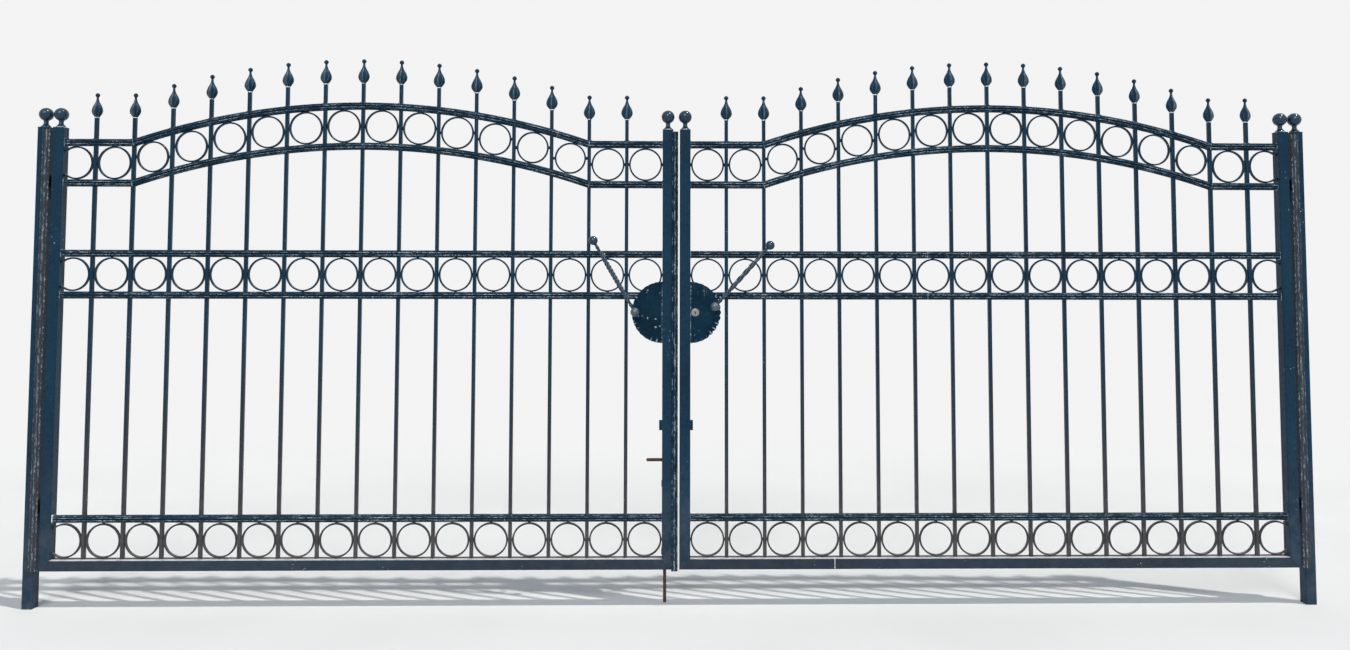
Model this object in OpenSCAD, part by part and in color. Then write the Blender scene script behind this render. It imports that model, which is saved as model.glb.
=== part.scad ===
// Double leaf wrought iron driveway gate with its two steel posts.
// Millimetres, +Z up, +X to the right seen from the street, +Y into the property.
// The origin is the centre of the foot of the left post.

/* [Leaves] */
// number of upright bars in one leaf
bar_count = 15; // [13:2:19]
// distance from one bar to the next
bar_pitch = 142; // [136:1:150]
// side of a square bar
bar_size = 13; // [10:1:14]
// clear width of the last bay, beside the hinge stile
hinge_bay = 106; // [96:1:120]
// side of the square tube of the stiles, the bottom rail and the posts
tube = 40; // [38:1:45]
// wall of that tube
tube_wall = 2.5; // [2:0.5:4]
// gap between the two leaves
meeting_gap = 25; // [22:1:30]
// gap between a post and its leaf
hinge_gap = 16; // [14:1:20]
// level ground to the underside of the leaves
ground_gap = 135; // [110:5:150]
// ground to the top of the stiles and posts
stile_top = 1765; // [1760:5:1790]

/* [Rails] */
// height of an embossed rail
rail_h = 27; // [24:1:30]
// depth of an embossed rail, front to back
rail_d = 26; // [22:1:30]
// clear height of the lowest row of rings
low_band = 132; // [125:1:140]
// ground to the underside of the lower middle rail
mid_z = 1128; // [1110:2:1140]
// clear height of the middle row of rings
mid_band = 128; // [124:1:134]
// ground to the underside of the lower arched rail, at its level ends
arch_z = 1546; // [1530:2:1550]
// clear height of the top row of rings
arch_band = 125; // [124:1:130]
// rise of the arch over its level ends
arch_rise = 142; // [110:2:150]
// bars from either end at which the arch starts
arch_bar = 2; // [2:1:3]

/* [Rings and finials] */
// gap from a ring to the bar beside it, bridged by weld
ring_gap = 1.5; // [0.5:0.5:6]
// thickness of the ring metal
ring_t = 6; // [4:0.5:7]
// depth of the ring metal, front to back
ring_d = 12; // [10:1:14]
// width of a weld lump that joins a ring to a bar or rail
lump_w = 9; // [6:1:12]
// bar above the arched rail, along the arch
seat_arch = 72; // [60:2:80]
// bar above the rail at its level ends
seat_level = 80; // [60:2:90]
// height of a finial
finial_h = 94; // [85:1:100]
// widest radius of a finial
finial_r = 21.5; // [17:0.5:23]
// diameter of the balls on the stiles and posts
ball_d = 50; // [44:1:50]
// neck under a ball, from the stile top to the ball
neck_h = 27; // [22:1:34]
// diameter of that neck where it is narrowest
neck_d = 16; // [12:0.5:20]
// foot diameter of that neck
neck_foot_d = 37; // [30:1:38]
// thickness of the cap that closes a stile or post
cap_t = 3; // [2:0.5:5]

/* [Cover strips] */
// thickness of the embossed cover strips
strip_t = 5; // [4:0.5:6]
// lap of the middle strip on the left meeting stile
strip_lap = 6; // [4:1:10]
// width of a strip on a post
post_strip_w = 31; // [28:1:34]
// free gap from a strip to the stile it covers
strip_gap = 6; // [6:0.5:8]
// stile top down to the top of a strip
strip_drop = 6; // [4:1:16]
// middle strip below the leaf
strip_tail = 5; // [2:1:8]

/* [Lock and handles] */
// ground to the middle of the lock plates
lock_z = 1080; // [1070:2:1084]
// radius of a lock plate
plate_r = 114.5; // [105:0.5:120]
// thickness of a lock plate
plate_t = 3; // [2:0.5:4]
// meeting stile to the middle of the key cylinder
key_in = 18; // [17:0.5:24]
// diameter of the key cylinder rose
rose_d = 32; // [26:1:33]
// thickness of the rose
rose_t = 5; // [3:0.5:8]
// bevel round the rim of the rose
rose_bevel = 1.5; // [0.5:0.5:2.5]
// diameter of the key cylinder
key_d = 18; // [16:1:20]
// key cylinder in front of the rose and behind the lock case
key_out = 3; // [2:0.5:5]
// bevel round the front of the key cylinder
key_bevel = 1; // [0.5:0.5:1.5]
// width of the key slot
slot_w = 3; // [2:0.5:4]
// height of the key slot
slot_h = 10; // [8:1:12]
// middle of the key slot below the middle of the cylinder
slot_drop = 2; // [0:0.5:3]
// depth of the key slot
slot_deep = 14; // [8:1:20]
// width of the lock case
case_w = 48; // [36:1:60]
// height of the lock case
case_h = 96; // [80:2:104]
// distance between the balls of a pull handle
handle_len = 306; // [290:2:330]
// diameter of the handle balls
knob_d = 34; // [26:1:36]
// diameter of the thicker grip
grip_d = 16.5; // [14:0.5:20]
// length of the thicker grip, with its tapered ends
grip_len = 210; // [160:5:230]
// length of one tapered end of the grip
grip_taper = 55; // [30:5:70]
// handle diameter at its ends
grip_end_d = 11.5; // [9:0.5:13]
// diameter of the collars on a handle
collar_d = 15; // [14:0.5:19]
// width of a collar
collar_w = 7; // [4:1:10]
// middle of a ball to the middle of the collar beside it
collar_in = 30; // [24:1:38]
// diameter of the handle legs
leg_d = 12; // [10:1:14]
// leaf front to the middle of a handle
handle_out = 45; // [40:1:60]
// left handle: meeting stile face to its lower ball, along the leaf
left_knob_x = 101; // [95:1:108]
// left handle: height of its lower ball
left_knob_z = 1083; // [1076:1:1090]
// left handle: slope
left_slope = 59.5; // [56:0.5:62]
// right handle: meeting stile face to its lower ball, along the leaf
right_knob_x = 89; // [84:1:95]
// right handle: height of its lower ball
right_knob_z = 1103; // [1096:1:1108]
// right handle: slope
right_slope = 48; // [46:0.5:54]

/* [Hinges] */
// outside diameter of a hinge barrel
barrel_d = 22; // [20:1:24]
// diameter of a hinge pin
pin_d = 12; // [10:1:14]
// length of one barrel half
barrel_l = 45; // [38:1:60]
// leaf back to the middle of the hinge pin
pin_back = 18; // [17:1:24]
// width of the block that joins a barrel to its tube
lug_w = 22; // [16:1:26]
// thickness of that block, front to back beyond the pin
lug_in = 6; // [3:1:8]
// ground to the foot of the lower hinges
hinge_low = 290; // [240:10:400]
// ground to the foot of the upper hinges
hinge_high = 1500; // [1380:10:1560]

/* [Drop bolt and catches] */
// diameter of the drop bolt
rod_d = 12; // [10:1:14]
// meeting face of the stile to the drop bolt
rod_x = 29; // [24:1:30]
// leaf back to the middle of the drop bolt
rod_back = 16; // [16:1:20]
// ground to the bent handle of the drop bolt
rod_handle_z = 526; // [500:2:540]
// length of the bent handle
rod_handle = 70; // [60:2:80]
// radius of the bend at its middle line
rod_bend = 16; // [12:1:24]
// side of a bolt guide
guide_w = 26; // [24:1:30]
// height of a bolt guide
guide_h = 18; // [14:1:26]
// ground to the lower guide
guide_low = 180; // [175:1:200]
// ground to the upper guide
guide_high = 430; // [400:5:440]
// ground to the catch plates behind the meeting stiles
catch_z = 638; // [634:2:660]
// height of a catch plate
catch_h = 38; // [30:1:44]
// catch plate past the side of the stile
catch_out = 11; // [8:1:14]
// width of a catch plate
catch_w = 39; // [30:1:44]
// thickness of a catch plate
catch_t = 5; // [4:0.5:6]

/* [Fit] */
// free gap where a bar or rod passes through a hole
hole_fit = 0.3; // [0.2:0.05:0.5]
// free gap where a welded piece stands beside its neighbour
seat_fit = 0.25; // [0.1:0.05:0.3]

/* [Hidden] */
paint = [0.10, 0.17, 0.22];
dark = [0.07, 0.11, 0.15];
steel = [0.72, 0.72, 0.72];
rust = [0.36, 0.20, 0.12];
far = 4000;
eps = 1;
// end of a neck inside its ball
neck_sunk = 3;
// end of a handle leg short of the middle of the handle
leg_short = 2;
arc_steps = 1440;
// outline of a finial from its foot to its tip, in shares of its radius and height
finial_shape = [[0, 0], [0.38, 0], [0.38, 0.05], [0.6, 0.1], [0.86, 0.18], [0.98, 0.27],
    [1, 0.34], [0.93, 0.43], [0.75, 0.52], [0.5, 0.61], [0.32, 0.7], [0.22, 0.79],
    [0.23, 0.83], [0.39, 0.87], [0.4, 0.92], [0.25, 0.98], [0, 1]];
// outline of a neck from its foot to the ball: share of the flare of its foot, share of its height
neck_shape = [[1, 0], [0.98, 0.06], [0.55, 0.2], [0.22, 0.36], [0.04, 0.55], [0, 0.68],
    [0.05, 0.84], [0.16, 1]];
ring_od = bar_pitch - bar_size - 2 * ring_gap;
first_bar = tube + bar_pitch - bar_size / 2;
last_bar = first_bar + (bar_count - 1) * bar_pitch;
leaf_w = last_bar + bar_size / 2 + hinge_bay + tube;
rail_y = tube / 2 - rail_d / 2;
bottom_top = ground_gap + tube;
low_z = bottom_top + low_band;
mid_up_z = mid_z + rail_h + mid_band;
arch_up_z = arch_z + rail_h + arch_band;
post_x = meeting_gap / 2 + leaf_w + hinge_gap + tube / 2;
half_chord = ((bar_count + 1) / 2 - arch_bar) * bar_pitch;
arch_mid = (first_bar + last_bar) / 2;
arch_r = (half_chord * half_chord + arch_rise * arch_rise) / (2 * arch_rise);
pin_x = leaf_w + hinge_gap / 2;
pin_y = tube + pin_back;
rod_y = tube + rod_back;
strip_low = ground_gap;
strip_high = stile_top - strip_drop;
case_top = mid_z - seat_fit;

// lift of the arch over its level ends at a place along the leaf
function lift(x) = abs(x - arch_mid) >= half_chord ? 0
    : sqrt(arch_r * arch_r - (x - arch_mid) * (x - arch_mid)) - arch_r + arch_rise;
// slope of the arch at a place along the leaf
function slope(x) = abs(x - arch_mid) >= half_chord ? 0 : asin((x - arch_mid) / arch_r);
function bar_x(i) = first_bar + i * bar_pitch;
function bay_x(i) = first_bar - bar_pitch / 2 + i * bar_pitch;
function on_arch(x) = abs(x - arch_mid) < half_chord - eps;
function seat_z(i) = arch_up_z + rail_h + lift(bar_x(i))
    + (on_arch(bar_x(i)) ? seat_arch : seat_level);
// clear height between the arched rails, square to them
function arch_clear(x) = (arch_band + rail_h) * cos(slope(x)) - rail_h;
// outside diameter of a ring that stands in a row of this clear height
function ring_in(clear) = min(ring_od, clear - 2 * seat_fit);
// where the middle line of a handle crosses a height
function cross_x(x, z, s, level) = x + (level - z) / tan(s);

// places: a leaf is drawn from its meeting face along +X
module from_post() {
    translate([post_x, -tube / 2, 0]) children();
}
module right_side() {
    from_post() translate([meeting_gap / 2, 0, 0]) children();
}
module left_side() {
    from_post() mirror([1, 0, 0]) translate([meeting_gap / 2, 0, 0]) children();
}

// tube frame: its lower corners are mitred
module under_mitre() {
    translate([0, -eps, ground_gap]) rotate([0, -45, 0]) translate([-tube, 0, -4 * tube])
        cube([4 * tube, tube + 2 * eps, 4 * tube]);
}
module stile() {
    difference() {
        translate([0, 0, ground_gap]) cube([tube, tube, stile_top - ground_gap]);
        translate([tube_wall, tube_wall, 0])
            cube([tube - 2 * tube_wall, tube - 2 * tube_wall, stile_top + eps]);
        under_mitre();
    }
}
module meeting_stile() {
    color(paint) stile();
}
module hinge_stile() {
    color(paint) translate([leaf_w, 0, 0]) mirror([1, 0, 0]) stile();
}
module over_mitre() {
    translate([0, -eps, ground_gap]) rotate([0, -45, 0]) translate([-tube, 0, 0])
        cube([4 * tube, tube + 2 * eps, 4 * tube]);
}
module bottom_rail() {
    color(paint) difference() {
        translate([0, 0, ground_gap]) cube([leaf_w, tube, tube]);
        translate([-eps, tube_wall, ground_gap + tube_wall])
            cube([leaf_w + 2 * eps, tube - 2 * tube_wall, tube - 2 * tube_wall]);
        over_mitre();
        translate([leaf_w, 0, 0]) mirror([1, 0, 0]) over_mitre();
    }
}

// embossed rails with the holes that the bars pass through
module bar_holes() {
    hole = bar_size + 2 * hole_fit;
    for (i = [0 : bar_count - 1])
        translate([bar_x(i) - hole / 2, tube / 2 - hole / 2, 0]) cube([hole, hole, far]);
}
module straight_rail(z) {
    translate([tube + seat_fit, rail_y, z]) cube([leaf_w - 2 * tube - 2 * seat_fit, rail_d, rail_h]);
}
module low_rail() {
    color(paint) difference() {
        straight_rail(low_z);
        bar_holes();
    }
}
module mid_rails() {
    color(paint) difference() {
        union() {
            straight_rail(mid_z);
            straight_rail(mid_up_z);
        }
        bar_holes();
    }
}
module arched_rail(z) {
    run = arch_mid - half_chord - tube;
    translate([tube + seat_fit, rail_y, z]) cube([run - seat_fit, rail_d, rail_h]);
    translate([arch_mid + half_chord, rail_y, z])
        cube([leaf_w - tube - seat_fit - arch_mid - half_chord, rail_d, rail_h]);
    intersection() {
        translate([arch_mid, tube / 2 + rail_d / 2, z + rail_h / 2 + arch_rise - arch_r])
            rotate([90, 0, 0]) difference() {
                cylinder(h = rail_d, r = arch_r + rail_h / 2, $fn = arc_steps);
                translate([0, 0, -eps])
                    cylinder(h = rail_d + 2 * eps, r = arch_r - rail_h / 2, $fn = arc_steps);
            }
        translate([arch_mid - half_chord, 0, z - rail_h]) cube([2 * half_chord, tube, far]);
    }
}
module arch_rails() {
    color(paint) difference() {
        union() {
            arched_rail(arch_z);
            arched_rail(arch_up_z);
        }
        bar_holes();
    }
}

// bars, finials and rings
module bars() {
    color(dark) for (i = [0 : bar_count - 1])
        translate([bar_x(i) - bar_size / 2, tube / 2 - bar_size / 2, bottom_top])
            cube([bar_size, bar_size, seat_z(i) - bottom_top]);
}
module finial() {
    rotate_extrude() polygon([for (p = finial_shape) [p[0] * finial_r, p[1] * finial_h]]);
}
module finials() {
    color(dark) for (i = [0 : bar_count - 1])
        translate([bar_x(i), tube / 2, seat_z(i)]) finial();
}
// a ring in the middle of a bay, with its four weld lumps
module ring(od, side, top) {
    rotate([90, 0, 0]) translate([0, 0, -ring_d / 2]) {
        difference() {
            cylinder(h = ring_d, r = od / 2);
            translate([0, 0, -eps]) cylinder(h = ring_d + 2 * eps, r = od / 2 - ring_t);
        }
        for (s = [-1, 1])
            translate([s > 0 ? od / 2 - ring_t / 2 : -side, -lump_w / 2, ring_d / 4])
                cube([side - od / 2 + ring_t / 2, lump_w, ring_d / 2]);
        for (s = [-1, 1])
            translate([-lump_w / 2, s > 0 ? od / 2 - ring_t / 2 : -top, ring_d / 4])
                cube([lump_w, top - od / 2 + ring_t / 2, ring_d / 2]);
    }
}
// a row of rings: the last one is cut where it meets the hinge stile
module ring_row(z, band) {
    side = (bar_pitch - bar_size) / 2 - seat_fit;
    intersection() {
        for (i = [0 : bar_count])
            translate([bay_x(i), tube / 2, z + band / 2]) ring(ring_in(band), side, band / 2 - seat_fit);
        translate([0, 0, z - rail_h]) cube([leaf_w - tube - seat_fit, tube, band + 2 * rail_h]);
    }
}
module rings_low() {
    color(dark) ring_row(bottom_top, low_band);
}
module rings_mid() {
    color(dark) ring_row(mid_z + rail_h, mid_band);
}
module rings_arch() {
    side = (bar_pitch - bar_size) / 2 - seat_fit;
    color(dark) intersection() {
        for (i = [0 : bar_count]) {
            x = bay_x(i);
            od = ring_in(arch_clear(x));
            top = on_arch(x) ? od / 2 : arch_band / 2 - seat_fit;
            translate([x, tube / 2, arch_z + rail_h + arch_band / 2 + lift(x)]) ring(od, side, top);
        }
        cube([leaf_w - tube - seat_fit, tube, far]);
    }
}

// balls on the stiles and posts
module ball_cap() {
    translate([-tube / 2, -tube / 2, 0]) cube([tube, tube, cap_t]);
    flare = (neck_foot_d - neck_d) / 2;
    ball_z = neck_h + ball_d / 2;
    neck_end = neck_h + neck_sunk;
    rotate_extrude() polygon([[0, 0], [0, neck_end],
        for (k = [len(neck_shape) - 1 : -1 : 0])
            [neck_d / 2 + neck_shape[k][0] * flare, cap_t + neck_shape[k][1] * (neck_end - cap_t)],
        [neck_foot_d / 2, 0]]);
    translate([0, 0, ball_z]) sphere(d = ball_d);
}
module leaf_balls() {
    color(paint) for (x = [tube / 2, leaf_w - tube / 2])
        translate([x, tube / 2, stile_top]) ball_cap();
}

// lock plates, key cylinder and pull handles
module half_plate() {
    translate([tube, rail_y, lock_z]) rotate([90, 0, 0]) intersection() {
        cylinder(h = plate_t, r = plate_r);
        translate([0, -plate_r, 0]) cube([plate_r, 2 * plate_r, plate_t]);
    }
}
module key_bore(d) {
    translate([tube + key_in, far / 2, lock_z]) rotate([90, 0, 0]) cylinder(h = far, d = d);
}
module plate_plain() {
    color(paint) half_plate();
}
module plate_keyed() {
    color(paint) difference() {
        half_plate();
        key_bore(key_d + 2 * hole_fit);
    }
}
module lock_case() {
    color(dark) difference() {
        translate([tube, rail_y, case_top - case_h]) cube([case_w, rail_d, case_h]);
        key_bore(key_d + 2 * hole_fit);
    }
}
module key_cylinder() {
    front = rail_y - plate_t;
    color(steel) translate([tube + key_in, front, lock_z]) rotate([90, 0, 0]) difference() {
        union() {
            cylinder(h = rose_t - rose_bevel, d = rose_d);
            translate([0, 0, rose_t - rose_bevel])
                cylinder(h = rose_bevel, d1 = rose_d, d2 = rose_d - 2 * rose_bevel);
            translate([0, 0, -plate_t - rail_d - key_out])
                cylinder(h = plate_t + rail_d + 2 * key_out + rose_t - key_bevel, d = key_d);
            translate([0, 0, rose_t + key_out - key_bevel])
                cylinder(h = key_bevel, d1 = key_d, d2 = key_d - 2 * key_bevel);
        }
        translate([-slot_w / 2, -slot_h / 2 - slot_drop, rose_t + key_out - slot_deep])
            cube([slot_w, slot_h, slot_deep + eps]);
    }
}
module pull_handle(knob_x, knob_z, s) {
    color(dark) {
        translate([tube + knob_x, -handle_out, knob_z]) rotate([0, 90 - s, 0]) {
            sphere(d = knob_d);
            translate([0, 0, handle_len]) sphere(d = knob_d);
            cylinder(h = handle_len, d = grip_end_d);
            for (k = [collar_in, handle_len - collar_in])
                translate([0, 0, k - collar_w / 2]) cylinder(h = collar_w, d = collar_d);
            translate([0, 0, (handle_len - grip_len) / 2]) {
                cylinder(h = grip_taper, d1 = grip_end_d, d2 = grip_d);
                translate([0, 0, grip_taper]) cylinder(h = grip_len - 2 * grip_taper, d = grip_d);
                translate([0, 0, grip_len - grip_taper])
                    cylinder(h = grip_taper, d1 = grip_d, d2 = grip_end_d);
            }
        }
        for (z = [mid_z + rail_h / 2, mid_up_z + rail_h / 2])
            translate([cross_x(tube + knob_x, knob_z, s, z), rail_y, z])
                rotate([90, 0, 0]) cylinder(h = handle_out + rail_y - leg_short, d = leg_d);
    }
}

// hinges: a pin half on the post, a barrel half on the leaf
module hinge_lug(x, z) {
    translate([x, tube, z]) cube([lug_w, pin_back + lug_in, barrel_l]);
}
module pin_half(z) {
    translate([pin_x, pin_y, z]) {
        cylinder(h = barrel_l, d = barrel_d);
        cylinder(h = 2 * barrel_l, d = pin_d);
    }
    difference() {
        hinge_lug(pin_x + hinge_gap / 2, z);
        translate([pin_x, pin_y, z - eps]) cylinder(h = barrel_l + 2 * eps, d = pin_d);
    }
}
module barrel_half(z) {
    low = z + barrel_l + hole_fit;
    difference() {
        union() {
            translate([pin_x, pin_y, low]) cylinder(h = barrel_l, d = barrel_d);
            hinge_lug(pin_x - hinge_gap / 2 - lug_w, low);
        }
        translate([pin_x, pin_y, z]) cylinder(h = far, d = pin_d + 2 * hole_fit);
    }
}
module hinge_pins() {
    color(dark) for (z = [hinge_low, hinge_high]) pin_half(z);
}
module hinge_barrels() {
    color(dark) for (z = [hinge_low, hinge_high]) barrel_half(z);
}

// drop bolt, its guides and the catch plates
module drop_bolt_body() {
    translate([rod_x, rod_y, 0]) cylinder(h = rod_handle_z - rod_bend, d = rod_d);
    translate([rod_x + rod_bend, rod_y, rod_handle_z - rod_bend]) {
        rotate([90, 0, 0]) rotate([0, 0, 90]) rotate_extrude(angle = 90)
            translate([rod_bend, 0]) circle(d = rod_d);
        translate([0, 0, rod_bend]) rotate([0, 90, 0]) cylinder(h = rod_handle - rod_bend, d = rod_d);
    }
}
module bolt_guide(z) {
    difference() {
        translate([rod_x - guide_w / 2, tube, z]) cube([guide_w, rod_back + guide_w / 2, guide_h]);
        translate([rod_x, rod_y, z - eps]) cylinder(h = guide_h + 2 * eps, d = rod_d + 2 * hole_fit);
    }
}
module bolt_guides_both() {
    color(dark) for (z = [guide_low, guide_high]) bolt_guide(z);
}
module catch_plate() {
    color(dark) translate([tube + catch_out - catch_w, tube, catch_z]) cube([catch_w, catch_t, catch_h]);
}

// pieces on the posts
module post() {
    translate([-tube / 2, -tube / 2, 0]) difference() {
        cube([tube, tube, stile_top]);
        translate([tube_wall, tube_wall, tube_wall])
            cube([tube - 2 * tube_wall, tube - 2 * tube_wall, stile_top]);
    }
}
module post_strip() {
    translate([leaf_w + strip_gap, -strip_t, strip_low])
        cube([post_strip_w, strip_t, strip_high - strip_low]);
}

// fixed sub-parts
module left_post() {
    color(paint) post();
}
module right_post() {
    color(paint) translate([2 * post_x, 0, 0]) post();
}
module post_balls() {
    color(paint) for (x = [0, 2 * post_x]) translate([x, 0, stile_top]) ball_cap();
}
module post_strips() {
    color(paint) {
        left_side() post_strip();
        right_side() post_strip();
    }
}
module left_hinge_pins() {
    left_side() hinge_pins();
}
module right_hinge_pins() {
    right_side() hinge_pins();
}

// left leaf sub-parts
module left_hinge_stile() {
    left_side() hinge_stile();
}
module left_meeting_stile() {
    left_side() meeting_stile();
}
module left_bottom_rail() {
    left_side() bottom_rail();
}
module left_low_rail() {
    left_side() low_rail();
}
module left_mid_rails() {
    left_side() mid_rails();
}
module left_arch_rails() {
    left_side() arch_rails();
}
module left_bars() {
    left_side() bars();
}
module left_finials() {
    left_side() finials();
}
module left_rings_low() {
    left_side() rings_low();
}
module left_rings_mid() {
    left_side() rings_mid();
}
module left_rings_arch() {
    left_side() rings_arch();
}
module left_balls() {
    left_side() leaf_balls();
}
module left_lock_plate() {
    left_side() plate_plain();
}
module left_pull_handle() {
    left_side() pull_handle(left_knob_x, left_knob_z, left_slope);
}
module left_hinge_barrels() {
    left_side() hinge_barrels();
}
module meeting_strip() {
    color(paint) left_side() translate([strip_gap - meeting_gap, -strip_t, strip_low - strip_tail])
        cube([meeting_gap - strip_gap + strip_lap, strip_t, strip_high - strip_low + strip_tail]);
}
module bolt_guides() {
    left_side() bolt_guides_both();
}
module left_catch() {
    left_side() catch_plate();
}
module drop_bolt() {
    color(rust) left_side() drop_bolt_body();
}

// right leaf sub-parts
module right_hinge_stile() {
    right_side() hinge_stile();
}
module right_meeting_stile() {
    right_side() meeting_stile();
}
module right_bottom_rail() {
    right_side() bottom_rail();
}
module right_low_rail() {
    right_side() low_rail();
}
module right_mid_rails() {
    right_side() mid_rails();
}
module right_arch_rails() {
    right_side() arch_rails();
}
module right_bars() {
    right_side() bars();
}
module right_finials() {
    right_side() finials();
}
module right_rings_low() {
    right_side() rings_low();
}
module right_rings_mid() {
    right_side() rings_mid();
}
module right_rings_arch() {
    right_side() rings_arch();
}
module right_balls() {
    right_side() leaf_balls();
}
module right_lock_plate() {
    right_side() plate_keyed();
}
module right_lock_case() {
    right_side() lock_case();
}
module right_key_cylinder() {
    right_side() key_cylinder();
}
module right_pull_handle() {
    right_side() pull_handle(right_knob_x, right_knob_z, right_slope);
}
module right_hinge_barrels() {
    right_side() hinge_barrels();
}
module right_catch() {
    right_side() catch_plate();
}

left_post();
right_post();
post_balls();
post_strips();
left_hinge_pins();
right_hinge_pins();
left_hinge_stile();
left_meeting_stile();
left_bottom_rail();
left_low_rail();
left_mid_rails();
left_arch_rails();
left_bars();
left_finials();
left_rings_low();
left_rings_mid();
left_rings_arch();
left_balls();
left_lock_plate();
left_pull_handle();
left_hinge_barrels();
meeting_strip();
bolt_guides();
left_catch();
drop_bolt();
right_hinge_stile();
right_meeting_stile();
right_bottom_rail();
right_low_rail();
right_mid_rails();
right_arch_rails();
right_bars();
right_finials();
right_rings_low();
right_rings_mid();
right_rings_arch();
right_balls();
right_lock_plate();
right_lock_case();
right_key_cylinder();
right_pull_handle();
right_hinge_barrels();
right_catch();
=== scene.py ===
"""Looks of the double-leaf wrought iron driveway gate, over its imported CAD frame.

Metres. A leaf is worked out in its own place: x runs from its meeting face towards its
hinges, y from its street face into the property, z up. to_row() carries that to the frame.
"""
import math

import bpy
import numpy as np
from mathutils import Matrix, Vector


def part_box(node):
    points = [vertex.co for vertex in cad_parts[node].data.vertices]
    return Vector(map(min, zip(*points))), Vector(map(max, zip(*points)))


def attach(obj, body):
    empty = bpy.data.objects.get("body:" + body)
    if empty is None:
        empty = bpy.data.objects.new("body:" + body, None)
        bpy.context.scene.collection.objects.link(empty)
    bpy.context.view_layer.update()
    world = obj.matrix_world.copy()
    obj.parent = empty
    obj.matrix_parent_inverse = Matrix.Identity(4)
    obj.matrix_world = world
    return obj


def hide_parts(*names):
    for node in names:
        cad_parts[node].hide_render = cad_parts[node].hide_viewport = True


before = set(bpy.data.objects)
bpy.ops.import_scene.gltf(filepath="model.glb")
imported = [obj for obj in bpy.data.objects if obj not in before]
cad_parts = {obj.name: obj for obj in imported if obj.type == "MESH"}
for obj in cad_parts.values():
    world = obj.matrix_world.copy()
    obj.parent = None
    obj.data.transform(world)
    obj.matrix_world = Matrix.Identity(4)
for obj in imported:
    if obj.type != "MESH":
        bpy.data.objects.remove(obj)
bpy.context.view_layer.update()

X, Y, Z = 0, 1, 2
SIDES = {"left": -1.0, "right": 1.0}
BODY = {"left": "left_leaf", "right": "right_leaf"}


def neat(length):
    """A length to a hundredth of a millimetre."""
    return round(float(length), 5)


def span(node, axis):
    """Lowest and highest place of a CAD node along an axis."""
    low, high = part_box(node)
    return neat(low[axis]), neat(high[axis])


# Gate frame
LEFT_FACE = span("left_meeting_stile", X)[1]
RIGHT_FACE = span("right_meeting_stile", X)[0]
GATE_MID = neat((LEFT_FACE + RIGHT_FACE) / 2)
HALF_GAP = neat((RIGHT_FACE - LEFT_FACE) / 2)
TUBE = 2 * span("left_meeting_stile", Y)[1]
TUBE_CORNER = 0.0035
GROUND_GAP, STILE_TOP = span("right_hinge_stile", Z)


def leaf_box(side, node):
    """Low and high corner of a CAD node in a leaf's own place."""
    x = sorted(neat(SIDES[side] * (place - GATE_MID) - HALF_GAP) for place in span(node, X))
    y = [neat(place + TUBE / 2) for place in span(node, Y)]
    return np.array([x, y, span(node, Z)]).T


LEAF_W = leaf_box("right", "right_hinge_stile")[1][X]
STILE_MIDDLES = (TUBE / 2, LEAF_W - TUBE / 2)
POST_X = leaf_box("right", "right_post")[0][X] + TUBE / 2
# Bars and rails
BARS = 15
BAR_LOW, BAR_HIGH = leaf_box("right", "right_bars")
BAR = neat(BAR_HIGH[Y] - BAR_LOW[Y])
FIRST_BAR = neat(BAR_LOW[X] + BAR / 2)
PITCH = neat((BAR_HIGH[X] - BAR_LOW[X] - BAR) / (BARS - 1))
LOW_RAIL, LOW_RAIL_TOP = span("right_low_rail", Z)
RAIL_H = neat(LOW_RAIL_TOP - LOW_RAIL)
RAIL_D = 2 * span("right_low_rail", Y)[1]
RAIL_Y = TUBE / 2
MID_LOW, MID_HIGH = span("right_mid_rails", Z)
MID_RAILS = (MID_LOW, neat(MID_HIGH - RAIL_H))
# Arch, and the height of a finial's foot over it and over its level ends
ARCH_RISE = 0.142
ARCH_CLEAR = 0.125
ARCH_CROWN = span("right_arch_rails", Z)[1]
UPPER_ARCH = neat(ARCH_CROWN - ARCH_RISE - RAIL_H)
ARCH_RAILS = (neat(UPPER_ARCH - ARCH_CLEAR - RAIL_H), UPPER_ARCH)
ARCH_MID = FIRST_BAR + 7 * PITCH
HALF_CHORD = 6 * PITCH
ARCH_R = (HALF_CHORD ** 2 + ARCH_RISE ** 2) / (2 * ARCH_RISE)
KINK_ANGLE = math.asin(HALF_CHORD / ARCH_R)
SEAT_ARCH = 0.072
SEAT_LEVEL = 0.080
# Rings: underside and clear height of each band
RING_BANDS = {
    "low": (GROUND_GAP + TUBE, neat(LOW_RAIL - GROUND_GAP - TUBE)),
    "mid": (MID_RAILS[0] + RAIL_H, neat(MID_RAILS[1] - MID_RAILS[0] - RAIL_H)),
    "arch": (ARCH_RAILS[0] + RAIL_H, ARCH_CLEAR),
}
RING_OD = 0.126
RING_T = 0.006
RING_D = 0.012
# Embossing: the pitch of the hammer dents and the step of the mesh along a rail and a strip
HAMMER_PITCH = 0.020
RAIL_STEP = 0.0048
STRIP_STEP = 0.0030
# Finials and balls
FINIAL_H = 0.094
FINIAL_R = 0.0218
BALL_R = 0.02498
CAP_T = 0.003
NECK_H = 0.027
NECK_R = 0.0080
NECK_TOP_R = 0.0094
NECK_FLARE = 0.0105
BALL_MID = NECK_H + 0.025
# Lock plates and lock
PLATE_LOW, PLATE_HIGH = span("right_lock_plate", Z)
LOCK_Z = neat((PLATE_LOW + PLATE_HIGH) / 2)
PLATE_R = neat((PLATE_HIGH - PLATE_LOW) / 2)
PLATE_Y = RAIL_Y - RAIL_D / 2
PLATE_T = 0.003
KEY_IN = 0.018
CASE_SCREWS = (1.045, 1.115)
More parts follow.
